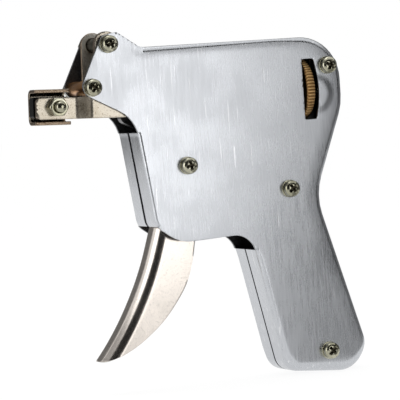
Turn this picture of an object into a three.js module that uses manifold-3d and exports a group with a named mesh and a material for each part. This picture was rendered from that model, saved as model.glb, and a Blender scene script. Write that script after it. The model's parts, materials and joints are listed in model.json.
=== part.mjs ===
// A hand-held snap gun for locksmiths: two pressed steel half shells screwed together round a
// trigger, a sprung hammer, a thumbwheel that sets the spring, and a pivoted needle holder.
// Millimetres. +X runs from the needle to the back, +Z is up, and the near side faces -Y.
// Working coordinates start at the trigger's pivot in the middle plane. The finished group is
// moved so that its origin is the seat that a needle is clamped on.
import * as THREE from "three";
import { mergeVertices } from "three/addons/utils/BufferGeometryUtils.js";
import Module from "manifold-3d";

const wasm = await Module();
wasm.setup();

// General
const body_width = 25; // over the two outer faces
const sheet = 1.2; // shell sheet
const seam_gap = 1; // open slit between the two half shells
const touch_gap = 0.05; // between flat faces that bear on each other
const run_gap = 0.3; // between pieces that move on each other
const cut_over = 2; // how far a cutting solid runs past what it cuts
const join_over = 1; // how far two solids of one piece run into each other
const edge_over = 10; // how far the cutters of the open edges run past the outline
const weld = 1e-4; // corners nearer than this are one
const arc_step = Math.PI / 15;
const mitre_share = 0.5; // sharper corners are cut off at this share of their mitre

// Shell outline seen from the near side. Places are measured from the trigger's pivot.
const crest_height = 62.8; // top of the ear over the needle's pivot
const crest_rear_x = -30.3;
const crest_front_x = -37.5;
const crest_fall = 1.3; // from its rear corner to its front one
const nose_x = -49.9;
const nose_height = 36.7;
const brow_x = -23.9; // where the front edge turns under the nose
const brow_height = 23.1;
const chin_x = -17.5;
const chin_height = -24.4;
const belly_x = -7;
const belly_height = -34.7;
const throat_x = 29.7; // where the belly turns down into the grip
const toe_x = 44;
const toe_height = -99.6;
const heel_x = 90;
const heel_drop = 4.2; // below the toe
const waist_x = 65; // where the grip's back turns out again
const waist_height = -18.8;
const back_edge = 81.4;
const back_low = 22.8;
const top_edge = 55.3;
const top_front_x = -19.3;
const ear_corner = 2;
const top_front_corner = 5;
const top_back_corner = 20;
const back_corner = 25;
const waist_corner = 27;
const heel_corner = 12.5;
const toe_corner = 8;
const throat_corner = 10.5;
const belly_corner = 12;
const chin_corner = 4;
const brow_corner = 16;
const nose_corner = 5;
const shell_corners = [
  { x: crest_front_x, z: crest_height - crest_fall, r: ear_corner },
  { x: crest_rear_x, z: crest_height, r: ear_corner },
  { x: top_front_x, z: top_edge, r: top_front_corner },
  { x: back_edge, z: top_edge, r: top_back_corner },
  { x: back_edge, z: back_low, r: back_corner },
  { x: waist_x, z: waist_height, r: waist_corner },
  { x: heel_x, z: toe_height - heel_drop, r: heel_corner },
  { x: toe_x, z: toe_height, r: toe_corner },
  { x: throat_x, z: belly_height, r: throat_corner },
  { x: belly_x, z: belly_height, r: belly_corner },
  { x: chin_x, z: chin_height, r: chin_corner },
  { x: brow_x, z: brow_height, r: brow_corner },
  { x: nose_x, z: nose_height, r: nose_corner },
];
const body_bend = 1.5; // outer bend radius of the body's front and top edges
const back_bend = 2.8; // softer edge down the back, clear of the rear sleeve
const back_bend_from = 46; // distance behind the trigger's pivot where the edge begins to soften
const back_bend_run = 24;
const grip_bend = 2.6; // softer bend down the grip
const butt_bend = 4.6; // wide rolled edge round the butt
const bend_steps = 3;
const grip_from = -38; // height where the grip's bend begins
const butt_from = -88; // height where the butt's roll begins
const bend_blend = 10; // height over which one bend becomes the next
const nose_flange_top = 17; // the front flange starts below this
const grip_flange_top = -41.5; // and the grip's front flange below this
const mouth_front = -25.4; // the front flange ends here, above the trigger
const nose_open_rear = -18; // the nose has no flange ahead of here
const nose_open_height = 44; // up to here
const ear_open_rear = -29; // and none ahead of here above that

// Screws: M4 pan heads from the near side, nuts on the far side
const screw_radius = 1.95;
const screw_head_radius = 4;
const screw_head_height = 2.9;
const screw_end = 0.8; // thread past the nut
const recess_width = 1.25;
const recess_span = 4.6;
const recess_depth = 1.7;
const washer_radius = 4.5;
const washer_thick = 0.8;
const spring_washer_radius = 3.6;
const spring_washer_thick = 1;
const spring_washer_slit = 0.7;
const screw_hole_radius = 2.15;
const nut_flats = 7;
const nut_height = 3.2;
const sleeve_radius = 3.2;
const sleeve_bore = 2.2;
const collar_radius = 5;
const round_sides = 20;
const hidden_sides = 12;
const screw_tip_share = 0.8; // of the thread's radius
const screw_point_share = 0.3;
const head_shares = [[1, 0], [1, 0.45], [0.91, 0.76], [0.62, 1]]; // of the head's radius and height

// Where the screws pass through, from the outline's own edges
const needle_pivot_inset = 4.5; // ahead of the crest's rear corner
const needle_pivot_drop = 5.2;
const stop_inset = 5.9;
const stop_rise = 1.7;
const hammer_pivot_back = 50.5;
const hammer_pivot_drop = 14.5;
const rear_inset = 7.6;
const rear_drop = 13.7;
const butt_inset = 24.6;
const butt_rise = 8;
const pivots = {
  needle: { x: crest_rear_x - needle_pivot_inset, z: crest_height - needle_pivot_drop },
  stop: { x: nose_x + stop_inset, z: nose_height + stop_rise },
  trigger: { x: 0, z: 0 },
  hammer: { x: hammer_pivot_back, z: -hammer_pivot_drop },
  rear: { x: back_edge - rear_inset, z: top_edge - rear_drop },
  butt: { x: heel_x - butt_inset, z: toe_height + butt_rise },
};

// Needle holder, drawn level from its pivot and then tipped up by its rest tilt
const rest_tilt = THREE.MathUtils.degToRad(2.2);
const cheek_radius = 5.8;
const cheek_gap = 0.5; // near cheek to the near shell
const frame_cheek_inset = 3.3; // far cheek to the far shell
const needle_height = 29.9; // of its axis when level, over the trigger's pivot
const needle_axis = needle_height - pivots.needle.z; // from the holder's own pivot
const channel_front = -32.6;
const channel_rear = -15.5;
const channel_height = 16.2;
const channel_depth = 9.3;
const channel_bend = 3.3;
const channel_step = 0.5; // from the far cheek's inner side to the channel's back
const frame_sheet = 1.6;
const frame_neck = 4; // straight part behind the channel
const frame_joggle = 2.6; // length of the slope from the neck to the cheek
const plate_above = 4.3; // clamp plate over and under the needle's axis
const plate_below = 5.5;
const tail_rear = 8.5;
const tail_above = 7.7;
const plate_sheet = 2;
const plate_proud = 1.9; // how far the clamp plate stands out of the channel
const plate_front = -31.9;
const plate_joggle = -13.4; // where the plate's slope begins
const plate_corner = 1.4;
const needle_gap = 2.1; // open room for the needle's shank
const anvil_height = 9.4;
const anvil_corner = 1;
const stud_x = -22.95;
const stud_radius = 2.45;
const stud_hole_gap = 0.15;
const stud_end = 3.4; // thread past the clamp nut
const stud_dome_share = 0.45; // of its radius
const clamp_nut_flats = 8;
const clamp_nut_height = 4;
const nut_chamfer_share = 0.475; // of the width over flats, on the near face
const nut_flank_share = 0.72;
const rivet_radius = 4;
const rivet_height = 1.3;

// Trigger: a folded channel with a half round front
const trigger_radius = 5.4; // half its width
const trigger_sheet = 1.3;
const trigger_lead = -11.6; // front edge at the top of the channel
const trigger_top = -16;
const trigger_tip_front = -53;
const trigger_tip = -93;
const trigger_front_shares = [
  [0, 0],
  [0.1, 0.18],
  [0.23, 0.38],
  [0.385, 0.56],
  [0.59, 0.745],
  [0.82, 0.91],
  [1, 1],
];
const trigger_depth = 24; // of the folded blank, before its back edge is cut
const trigger_back_start = 7.2;
const trigger_back_top = -14;
const trigger_back_end = -47;
const trigger_back_low = -84.9;
const trigger_back_shares = [
  [0, 0],
  [0.015, 0.155],
  [0.05, 0.305],
  [0.085, 0.435],
  [0.15, 0.57],
  [0.255, 0.69],
  [0.375, 0.795],
  [0.52, 0.885],
  [0.665, 0.96],
  [0.84, 1.015],
  [0.945, 1.03],
  [1, 1],
];
const trigger_stations = 18;
const trigger_bow_steps = 8;
const trigger_hub_radius = 7.4;
const trigger_hub_share = 0.95; // how round its front corner is
const cheek_front = -14; // the flat cheeks reach down into the channel
const cheek_front_low = -26;
const cheek_low_front = -10;
const cheek_low = -36;
const cheek_low_back = 4.6;
const cheek_back = 6;
const cheek_back_low = -12;
const cheek_corner = 3;
const cocking_pin_reach = 14; // behind the trigger's pivot
const cocking_pin_radius = 2;
const cocking_ear_radius = 4.2;
const pin_sides = 16;

// Hammer and its spring
const hammer_thick = 4;
const hammer_hub_radius = 7;
const hammer_hub_half = 2.6; // half its thickness
const hammer_arm_half = 3.6;
const hammer_nose_behind = 2.9; // its middle, behind the strike tab
const hammer_nose_drop = 5.5; // and under the needle's axis
const hammer_nose = {
  x: pivots.needle.x + tail_rear + hammer_nose_behind,
  z: needle_height - hammer_nose_drop,
};
const hammer_nose_radius = 3.7;
const hammer_post_front = 13.5;
const hammer_post_rear = 21.6;
const hammer_post_rise = 6.2; // above the spring's axis
const post_waist = 13.2; // below the spring's axis, where its foot begins to spread
const post_spread = 4;
const post_corner = 4;
const post_top_corner = 2;
const spigot_radius = 2.6;
const spigot_length = 3;
const spring_radius = 4.4; // to the wire's centre
const spring_wire = 1.1;
const spring_turns = 10;
const turn_steps = 8;
const wire_sides = 5;
const spring_axis = 31.2;

// Thumbwheel, its threaded rod, slider and bracket
const wheel_radius = 14.6;
const wheel_thick = 4.2;
const wheel_middle = 64.6;
const wheel_ribs = 60;
const rib_depth = 0.45;
const rib_width_share = 0.55;
const rib_flank_share = 0.6;
const wheel_hub_radius = 5;
const rod_radius = 2.4;
const rod_front = 42;
const rod_rear = 74.5;
const bracket_sheet = 1.5;
const front_lug = 57.6;
const rear_lug_ahead = 4.8; // of the rear screw
const rear_lug = pivots.rear.x - rear_lug_ahead;
const lug_half_width = 6;
const lug_rise = 5.5;
const bracket_floor = 14.4;
const bracket_front = 46.5;
const bracket_ear_radius = 4.5;
const bracket_heel = 5; // the floor ends this far ahead of the back edge
const slider_front = 50.4;
const slider_thick = 3;
const slider_rise = 6.4;
const slider_half_width = 5.6;

// Slot for the thumbwheel, with its pressed lip
const slot_left = 61.1;
const slot_right_top = 66.9;
const slot_right_bottom = 67.4;
const slot_right_middle = 69.4;
const slot_top = 46;
const slot_bottom = 16.3;
const lip_length = 9;
const lip_height = 1.5;
const lip_rise = 8.2;
const lip_middle = 28.6;
const lip_sides = 24;
const slot_steps = 12;

// Return spring of the trigger
const return_radius = 4.2;
const return_wire = 0.9;
const return_turns = 4;
const return_leg_down = 17;
const return_leg_over = 4; // how far the long leg runs past the hammer's sleeve

const outer_face = body_width / 2;
const inner_face = outer_face - sheet;
const wall = inner_face - touch_gap;
const through = [-body_width, body_width];

// The holder's sheets lie in from the shells and from each other
const frame_cheek_near = inner_face - frame_cheek_inset - frame_sheet;
const channel_far = frame_cheek_near - channel_step;
const channel_near = channel_far - channel_depth;
const plate_cheek_near = -inner_face + cheek_gap;
const plate_near = channel_near - plate_proud;
const anvil_near = plate_near + plate_sheet + needle_gap;
const neck_top = needle_axis + plate_above;
const neck_bottom = needle_axis - plate_below;
const tail_top = needle_axis + tail_above;

// The cocking pin lies just under the hammer's long arm
const arm_run = hammer_nose.x - pivots.hammer.x;
const arm_rise = hammer_nose.z - pivots.hammer.z;
const arm_angle = Math.atan2(arm_rise, arm_run);
const armAt = (x) => pivots.hammer.z + (x - pivots.hammer.x) * Math.tan(arm_angle);
const pin_drop = (hammer_arm_half + run_gap + cocking_pin_radius) / -Math.cos(arm_angle);
const cocking_pin = { x: cocking_pin_reach, z: armAt(cocking_pin_reach) - pin_drop };

const steel = new THREE.MeshStandardMaterial({ color: 0xc3c8ce, roughness: 0.34, metalness: 0.95 });
const nickel = new THREE.MeshStandardMaterial({ color: 0xcfc0ac, roughness: 0.28, metalness: 1 });
const bright = new THREE.MeshStandardMaterial({ color: 0xe6dcd2, roughness: 0.16, metalness: 1 });
const zinc = new THREE.MeshStandardMaterial({ color: 0xc9c49a, roughness: 0.3, metalness: 1 });
const brass = new THREE.MeshStandardMaterial({ color: 0xb8894a, roughness: 0.4, metalness: 1 });
const bronze = new THREE.MeshStandardMaterial({ color: 0x8a5f38, roughness: 0.45, metalness: 1 });
const dark_steel = new THREE.MeshStandardMaterial({ color: 0x6f7276, roughness: 0.45, metalness: 1 });

// A closed geometry as a solid that can be joined and cut
function solid(geometry) {
  const bare = geometry.clone();
  bare.deleteAttribute("normal");
  bare.deleteAttribute("uv");
  const merged = mergeVertices(bare, weld);
  return new wasm.Manifold(
    new wasm.Mesh({
      numProp: 3,
      vertProperties: new Float32Array(merged.attributes.position.array),
      triVerts: new Uint32Array(merged.index.array),
    }),
  );
}

function geometryOf(made) {
  const mesh = made.getMesh();
  const geometry = new THREE.BufferGeometry();
  const places = new THREE.BufferAttribute(new Float32Array(mesh.vertProperties), 3);
  geometry.setAttribute("position", places);
  geometry.setIndex(new THREE.BufferAttribute(new Uint32Array(mesh.triVerts), 1));
  geometry.computeVertexNormals();
  return geometry;
}

const joined = (...parts) => parts.reduce((sum, part) => sum.add(part));
const cut = (body, ...tools) => tools.reduce((left, tool) => left.subtract(tool), body);

// A closed polygon whose corners are rounded by true arcs
function rounded(corners) {
  const points = [];
  corners.forEach((corner, i) => {
    const at = new THREE.Vector2(corner.x, corner.z);
    const before = corners.at(i - 1);
    const after = corners[(i + 1) % corners.length];
    const back = new THREE.Vector2(before.x, before.z).sub(at).normalize();
    const on = new THREE.Vector2(after.x, after.z).sub(at).normalize();
    if (!corner.r) {
      points.push(at);
      return;
    }
    const half = Math.acos(THREE.MathUtils.clamp(back.dot(on), -1, 1)) / 2;
    const middle = back.clone().add(on).normalize().multiplyScalar(corner.r / Math.sin(half)).add(at);
    const start = at.clone().addScaledVector(back, corner.r / Math.tan(half)).sub(middle);
    const turn = Math.PI - 2 * half;
    const side = Math.sign(back.x * on.y - back.y * on.x);
    const steps = Math.max(2, Math.round(turn / arc_step));
    for (let k = 0; k <= steps; k++) {
      const spoke = start.clone().rotateAround(new THREE.Vector2(), (-side * turn * k) / steps);
      points.push(spoke.add(middle));
    }
  });
  return points;
}

function counterClockwise(points) {
  return THREE.ShapeUtils.isClockWise(points) ? points.slice().reverse() : points;
}

// A flat plate: an outline in X and Z, filling Y from near to far
function plate(points, near, far, holes = []) {
  const shape = new THREE.Shape(points);
  shape.holes = holes.map((hole) => new THREE.Path(hole));
  const geometry = new THREE.ExtrudeGeometry(shape, { depth: far - near, bevelEnabled: false });
  return geometry.rotateX(Math.PI / 2).translate(0, far, 0);
}

function circle(centre, radius, sides = round_sides) {
  return Array.from({ length: sides }, (_, k) => {
    const turn = (2 * Math.PI * k) / sides;
    return new THREE.Vector2(centre.x + radius * Math.cos(turn), centre.z + radius * Math.sin(turn));
  });
}

function regular(centre, flats, sides = 6) {
  return circle(centre, flats / 2 / Math.cos(Math.PI / sides), sides);
}

function block(left, right, near, far, low, high) {
  const geometry = new THREE.BoxGeometry(right - left, far - near, high - low);
  return geometry.translate((left + right) / 2, (near + far) / 2, (low + high) / 2);
}

// A round bar or tube along X
function bar(centre_z, radius, left, right, bore = 0) {
  const holes = bore ? [new THREE.Path(circle({ x: 0, z: centre_z }, bore))] : [];
  const shape = new THREE.Shape(circle({ x: 0, z: centre_z }, radius));
  shape.holes = holes;
  const geometry = new THREE.ExtrudeGeometry(shape, { depth: right - left, bevelEnabled: false });
  return geometry.rotateX(Math.PI / 2).rotateZ(Math.PI / 2).translate(left, 0, 0);
}

// Half shell

// How wide the bend is at a place: the body's, then the grip's, then the butt's roll, and
// nowhere less than the soft edge's down the back
function bendAt(x, z) {
  const grip = THREE.MathUtils.smoothstep(grip_from - z, 0, bend_blend);
  const butt = THREE.MathUtils.smoothstep(butt_from - z, 0, bend_blend);
  const back = THREE.MathUtils.smoothstep(x - back_bend_from, 0, back_bend_run);
  const front_bend = body_bend + (grip_bend - body_bend) * grip + (butt_bend - grip_bend) * butt;
  return Math.max(front_bend, body_bend + (back_bend - body_bend) * back);
}

// Unit normals of a counter-clockwise outline, scaled so that a parallel edge stays parallel
function mitres(points) {
  return points.map((point, i) => {
    const back = point.clone().sub(points.at(i - 1)).normalize();
    const on = points[(i + 1) % points.length].clone().sub(point).normalize();
    const sum = new THREE.Vector2(back.y + on.y, -back.x - on.x).normalize();
    return sum.divideScalar(Math.max(sum.dot(new THREE.Vector2(back.y, -back.x)), mitre_share));
  });
}

// A tray: flat face on side * face, rolled edge, and straight wall to side * seam
function tray(points, inset, face, seam, side) {
  const normals = mitres(points);
  const rings = [];
  for (let k = 0; k <= bend_steps; k++) {
    const turn = (Math.PI / 2) * (k / bend_steps);
    rings.push(
      points.map((point, i) => {
        const bend = Math.max(bendAt(point.x, point.y) - inset, sheet / 4);
        const at = point.clone().addScaledVector(normals[i], -inset - bend * (1 - Math.sin(turn)));
        return [at.x, side * (face - bend * (1 - Math.cos(turn))), at.y];
      }),
    );
  }
  rings.push(rings.at(-1).map(([x, , z]) => [x, side * seam, z]));
  return stack(rings, side < 0);
}

// Skins a stack of equal rings and closes both ends
function stack(rings, flip) {
  const count = rings[0].length;
  const index = [];
  const triangle = (a, b, c) => index.push(...(flip ? [a, c, b] : [a, b, c]));
  rings.slice(1).forEach((_, r) => {
    for (let i = 0; i < count; i++) {
      const a = r * count + i;
      const b = r * count + ((i + 1) % count);
      triangle(a, b, a + count);
      triangle(b, b + count, a + count);
    }
  });
  const flat = (ring) => ring.map(([x, , z]) => new THREE.Vector2(x, z));
  const last = (rings.length - 1) * count;
  for (const [a, b, c] of THREE.ShapeUtils.triangulateShape(flat(rings[0]), [])) triangle(a, c, b);
  for (const [a, b, c] of THREE.ShapeUtils.triangulateShape(flat(rings.at(-1)), []))
    triangle(last + a, last + b, last + c);
  const geometry = new THREE.BufferGeometry();
  geometry.setAttribute("position", new THREE.Float32BufferAttribute(rings.flat(2), 3));
  geometry.setIndex(index);
  return geometry;
}

// The slot that the wheel stands out of: straight on the left, bowed on the right
function slotOutline() {
  const middle = (slot_top + slot_bottom) / 2;
  const control = 2 * slot_right_middle - (slot_right_top + slot_right_bottom) / 2;
  const bow = new THREE.QuadraticBezierCurve(
    new THREE.Vector2(slot_right_bottom, slot_bottom),
    new THREE.Vector2(control, middle),
    new THREE.Vector2(slot_right_top, slot_top),
  );
  const left = [new THREE.Vector2(slot_left, slot_top), new THREE.Vector2(slot_left, slot_bottom)];
  return [...left, ...bow.getPoints(slot_steps)];
}

// Half of a flattened dome, whose flat side is the slot's right edge
function lip(side, shift) {
  const dome = new THREE.SphereGeometry(1, lip_sides, lip_sides / 2);
  dome.scale(lip_length, lip_height, lip_rise);
  dome.translate(slot_right_top, side * (outer_face - shift), lip_middle);
  const keep = block(
    slot_right_top,
    slot_right_top + lip_length * 2,
    ...through,
    lip_middle - lip_rise * 2,
    lip_middle + lip_rise * 2,
  );
  return solid(dome).intersect(solid(keep));
}

function halfShell(side) {
  const outline = counterClockwise(rounded(shell_corners));
  const skin = solid(tray(outline, 0, outer_face, seam_gap / 2, side));
  const hollow = solid(tray(outline, sheet, inner_face, seam_gap / 2 - cut_over, side));
  const far = side * inner_face;
  const span = [Math.min(0, far) - cut_over * (side > 0), Math.max(0, far) + cut_over * (side < 0)];
  const past_front = nose_x - edge_over;
  const open = [
    block(past_front, nose_open_rear, ...span, nose_flange_top, nose_open_height),
    block(past_front, ear_open_rear, ...span, nose_flange_top, crest_height + edge_over),
    block(chin_x - edge_over, throat_x + edge_over, ...span, grip_flange_top, mouth_front),
  ];
  const holes = Object.values(pivots).map((at) => plate(circle(at, screw_hole_radius), ...through));
  const pressed = cut(joined(skin, lip(side, 0)), hollow, lip(side, sheet));
  return cut(pressed, ...[...open, plate(slotOutline(), ...through), ...holes].map(solid));
}

// Fasteners

function screw() {
  const seat = outer_face + washer_thick + spring_washer_thick + touch_gap * 3;
  const tip = outer_face + nut_height + screw_end;
  const profile = [
    [0, -tip],
    [screw_radius * screw_tip_share, -tip],
    [screw_radius, -tip + screw_radius * screw_point_share],
    [screw_radius, seat],
    ...head_shares.map(([across, up]) => [screw_head_radius * across, seat + screw_head_height * up]),
    [0, seat + screw_head_height],
  ].map(([x, y]) => new THREE.Vector2(x, y));
  const turned = new THREE.LatheGeometry(profile, round_sides).rotateX(Math.PI);
  const top = -seat - screw_head_height;
  const w = recess_width / 2;
  const s = recess_span / 2;
  const arms = [
    block(-s, s, top - cut_over, top + recess_depth, -w, w),
    block(-w, w, top - cut_over, top + recess_depth, -s, s),
  ];
  return cut(solid(turned), ...arms.map(solid));
}

function ring(radius, bore, near, far, sides = round_sides) {
  const centre = { x: 0, z: 0 };
  return plate(circle(centre, radius, sides), near, far, [circle(centre, bore, sides)]);
}

function flatWasher() {
  const far = -outer_face - touch_gap;
  return ring(washer_radius, screw_hole_radius, far - washer_thick, far);
}

function springWasher() {
  const far = -outer_face - washer_thick - touch_gap * 2;
  const near = far - spring_washer_thick;
  const slit = block(0, spring_washer_radius * 2, near - cut_over, far + cut_over, 0, spring_washer_slit);
  return cut(solid(ring(spring_washer_radius, screw_hole_radius, near, far)), solid(slit));
}

function nut() {
  const near = outer_face + touch_gap;
  const centre = { x: 0, z: 0 };
  const bore = circle(centre, screw_radius + touch_gap * 2);
  return plate(regular(centre, nut_flats), near, near + nut_height, [bore]);
}

function sleeve(near, far) {
  return ring(sleeve_radius, sleeve_bore, near, far, hidden_sides);
}

// Needle holder, drawn from its pivot

// The cheek: an arch round the pivot, a straight front, and a tail behind
function cheekOutline(front) {
  const arch = circle({ x: 0, z: 0 }, cheek_radius, round_sides * 2).slice(0, round_sides + 1);
  return [
    ...arch,
    new THREE.Vector2(-cheek_radius, neck_top),
    new THREE.Vector2(front, neck_top),
    new THREE.Vector2(front, neck_bottom),
    new THREE.Vector2(tail_rear, neck_bottom),
    new THREE.Vector2(tail_rear, tail_top),
    new THREE.Vector2(cheek_radius, tail_top + cheek_radius),
  ];
}

// A short slope in plan that carries the sheet from one level to another
function joggle(left, right, from_near, to_near, thick, low, high) {
  const shape = new THREE.Shape([
    new THREE.Vector2(left, from_near),
    new THREE.Vector2(right, to_near),
    new THREE.Vector2(right, to_near + thick),
    new THREE.Vector2(left, from_near + thick),
  ]);
  const geometry = new THREE.ExtrudeGeometry(shape, { depth: high - low, bevelEnabled: false });
  return geometry.translate(0, 0, low);
}

const holder_bore = sleeve_radius + run_gap / 2;

// The sleeve on the lower front screw, where the cheeks meet it, seen from the level holder
function stopNotch() {
  const dx = pivots.stop.x - pivots.needle.x;
  const dz = pivots.stop.z - pivots.needle.z;
  const x = dx * Math.cos(rest_tilt) - dz * Math.sin(rest_tilt);
  const z = dx * Math.sin(rest_tilt) + dz * Math.cos(rest_tilt);
  return plate(circle({ x, z }, sleeve_radius + run_gap), ...through);
}

function channelSection() {
  const half = channel_height / 2;
  const bend = channel_bend;
  const outer = rounded([
    { x: channel_near, z: needle_axis - half, r: 0 },
    { x: channel_far, z: needle_axis - half, r: bend },
    { x: channel_far, z: needle_axis + half, r: bend },
    { x: channel_near, z: needle_axis + half, r: 0 },
  ]);
  const in_half = half - frame_sheet;
  const inner = rounded([
    { x: channel_far - frame_sheet, z: needle_axis - in_half, r: bend - frame_sheet },
    { x: channel_far - frame_sheet, z: needle_axis + in_half, r: bend - frame_sheet },
  ].concat([
    { x: channel_near, z: needle_axis + in_half, r: 0 },
    { x: channel_near, z: needle_axis - in_half, r: 0 },
  ]));
  const far_side = inner.slice(0, -2);
  return [...outer, new THREE.Vector2(channel_near, needle_axis + in_half), ...far_side.reverse(),
    new THREE.Vector2(channel_near, needle_axis - in_half)];
}

// An outline in Y and Z carried along X
function alongX(points, left, right) {
  const geometry = new THREE.ExtrudeGeometry(new THREE.Shape(points), {
    depth: right - left,
    bevelEnabled: false,
  });
  return geometry.rotateX(Math.PI / 2).rotateZ(Math.PI / 2).translate(left, 0, 0);
}

function holderFrame() {
  const web_near = channel_far - frame_sheet;
  const joggle_left = channel_rear + frame_neck;
  const joggle_right = joggle_left + frame_joggle;
  const channel = alongX(channelSection(), channel_front, channel_rear);
  const neck = block(channel_rear - join_over, joggle_left, web_near, channel_far, neck_bottom, neck_top);
  const step = joggle(joggle_left, joggle_right, web_near, frame_cheek_near, frame_sheet,
    neck_bottom, neck_top);
  const cheek = plate(cheekOutline(joggle_right), frame_cheek_near, frame_cheek_near + frame_sheet);
  const tab_near = plate_cheek_near + plate_sheet + run_gap;
  const tab = block(tail_rear - frame_sheet, tail_rear, tab_near, frame_cheek_near + frame_sheet,
    neck_bottom, tail_top);
  const bore = plate(circle({ x: 0, z: 0 }, holder_bore), ...through);
  const stud = plate(circle({ x: stud_x, z: needle_axis }, stud_radius + stud_hole_gap), 0, body_width);
  const folded = joined(...[channel, neck, step, cheek, tab].map(solid));
  return cut(folded, ...[bore, stud, stopNotch()].map(solid));
}

function clampPlate() {
  const drop = plate_near - plate_cheek_near;
  const joggle_left = plate_joggle;
  const joggle_right = joggle_left + drop;
  const front = plate(
    rounded([
      { x: plate_front, z: neck_top, r: plate_corner },
      { x: plate_front, z: neck_bottom + plate_corner / 2, r: plate_corner },
      { x: joggle_left, z: neck_bottom, r: 0 },
      { x: joggle_left, z: neck_top, r: 0 },
    ]),
    plate_near,
    plate_near + plate_sheet,
  );
  const step = joggle(joggle_left, joggle_right, plate_near, plate_cheek_near, plate_sheet,
    neck_bottom, neck_top);
  const cheek = plate(cheekOutline(joggle_right), plate_cheek_near, plate_cheek_near + plate_sheet);
  const bore = plate(circle({ x: 0, z: 0 }, holder_bore), ...through);
  const stud = plate(circle({ x: stud_x, z: needle_axis }, stud_radius + stud_hole_gap), -body_width, 0);
  return cut(joined(...[front, step, cheek].map(solid)), ...[bore, stud, stopNotch()].map(solid));
}

// The block that a needle is pressed against
function needleAnvil() {
  const far = channel_far - frame_sheet - touch_gap;
  const low = needle_axis - anvil_height / 2;
  const high = needle_axis + anvil_height / 2;
  const outline = rounded([
    { x: channel_front, z: low, r: anvil_corner },
    { x: channel_rear, z: low, r: anvil_corner },
    { x: channel_rear, z: high, r: anvil_corner },
    { x: channel_front, z: high, r: anvil_corner },
  ]);
  const hole = circle({ x: stud_x, z: needle_axis }, stud_radius + stud_hole_gap);
  return plate(outline, anvil_near, far, [hole]);
}

function clampStud() {
  const centre = { x: stud_x, z: needle_axis };
  const dome = stud_radius * stud_dome_share;
  const neck = plate_near - clamp_nut_height - stud_end + dome;
  const shank = plate(circle(centre, stud_radius), neck, channel_far + touch_gap * 2);
  const end = new THREE.SphereGeometry(stud_radius, round_sides, hidden_sides);
  end.scale(1, stud_dome_share, 1).translate(stud_x, neck, needle_axis);
  const rivet_near = channel_far + touch_gap;
  const rivet = plate(circle(centre, rivet_radius), rivet_near, rivet_near + rivet_height);
  return joined(...[shank, end, rivet].map(solid));
}

function clampNut() {
  const far = plate_near - touch_gap;
  const centre = { x: stud_x, z: needle_axis };
  const body = plate(regular(centre, clamp_nut_flats), far - clamp_nut_height, far);
  const chamfer = new THREE.CylinderGeometry(
    clamp_nut_flats * nut_flank_share,
    clamp_nut_flats * nut_chamfer_share,
    clamp_nut_height + cut_over,
    round_sides,
  );
  chamfer.translate(stud_x, far - clamp_nut_height / 2 + cut_over / 2, needle_axis);
  const bore = plate(circle(centre, stud_radius + touch_gap * 2), -body_width, 0);
  return cut(solid(body).intersect(solid(chamfer)), solid(bore));
}

// Trigger

// Points between a start and an end, placed by their shares of the run and of the drop
function spread(shares, start, end) {
  const run = end.clone().sub(start);
  return shares.map(([across, down]) => new THREE.Vector2(across, down).multiply(run).add(start));
}

// The channel: a U section that runs square to a curved front edge
function triggerChannel() {
  const start = new THREE.Vector2(trigger_lead, trigger_top);
  const end = new THREE.Vector2(trigger_tip_front, trigger_tip);
  const front = new THREE.SplineCurve(spread(trigger_front_shares, start, end));
  const steps = trigger_bow_steps;
  const arc = Array.from({ length: steps + 1 }, (_, k) => (Math.PI * k) / steps);
  const rings = [];
  for (let k = 0; k <= trigger_stations; k++) {
    const share = k / trigger_stations;
    const at = front.getPoint(share);
    const run = front.getTangent(share);
    const back = new THREE.Vector2(-run.y, run.x);
    const reach = trigger_depth;
    const place = (along, y) => [at.x + back.x * along, y, at.y + back.y * along];
    const bow = (radius) =>
      arc.map((turn) => place(trigger_radius - radius * Math.sin(turn), -radius * Math.cos(turn)));
    const inner = trigger_radius - trigger_sheet;
    rings.push([
      place(reach, -trigger_radius),
      ...bow(trigger_radius),
      place(reach, trigger_radius),
      place(reach, inner),
      ...bow(inner).reverse(),
      place(reach, -inner),
    ]);
  }
  return loft(rings);
}

// Skins rings that are U sections, and closes both ends across the sheet
function loft(rings) {
  const count = rings[0].length;
  const half = count / 2;
  const index = [];
  for (let r = 0; r + 1 < rings.length; r++)
    for (let i = 0; i < count; i++) {
      const a = r * count + i;
      const b = r * count + ((i + 1) % count);
      index.push(a, b, a + count, b, b + count, a + count);
    }
  const last = (rings.length - 1) * count;
  for (let i = 0; i + 1 < half; i++) {
    const j = count - 1 - i;
    index.push(i, j, i + 1, i + 1, j, j - 1);
    index.push(last + i, last + i + 1, last + j, last + i + 1, last + j - 1, last + j);
  }
  const geometry = new THREE.BufferGeometry();
  geometry.setAttribute("position", new THREE.Float32BufferAttribute(rings.flat(2), 3));
  geometry.setIndex(index);
  return geometry;
}

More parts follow.
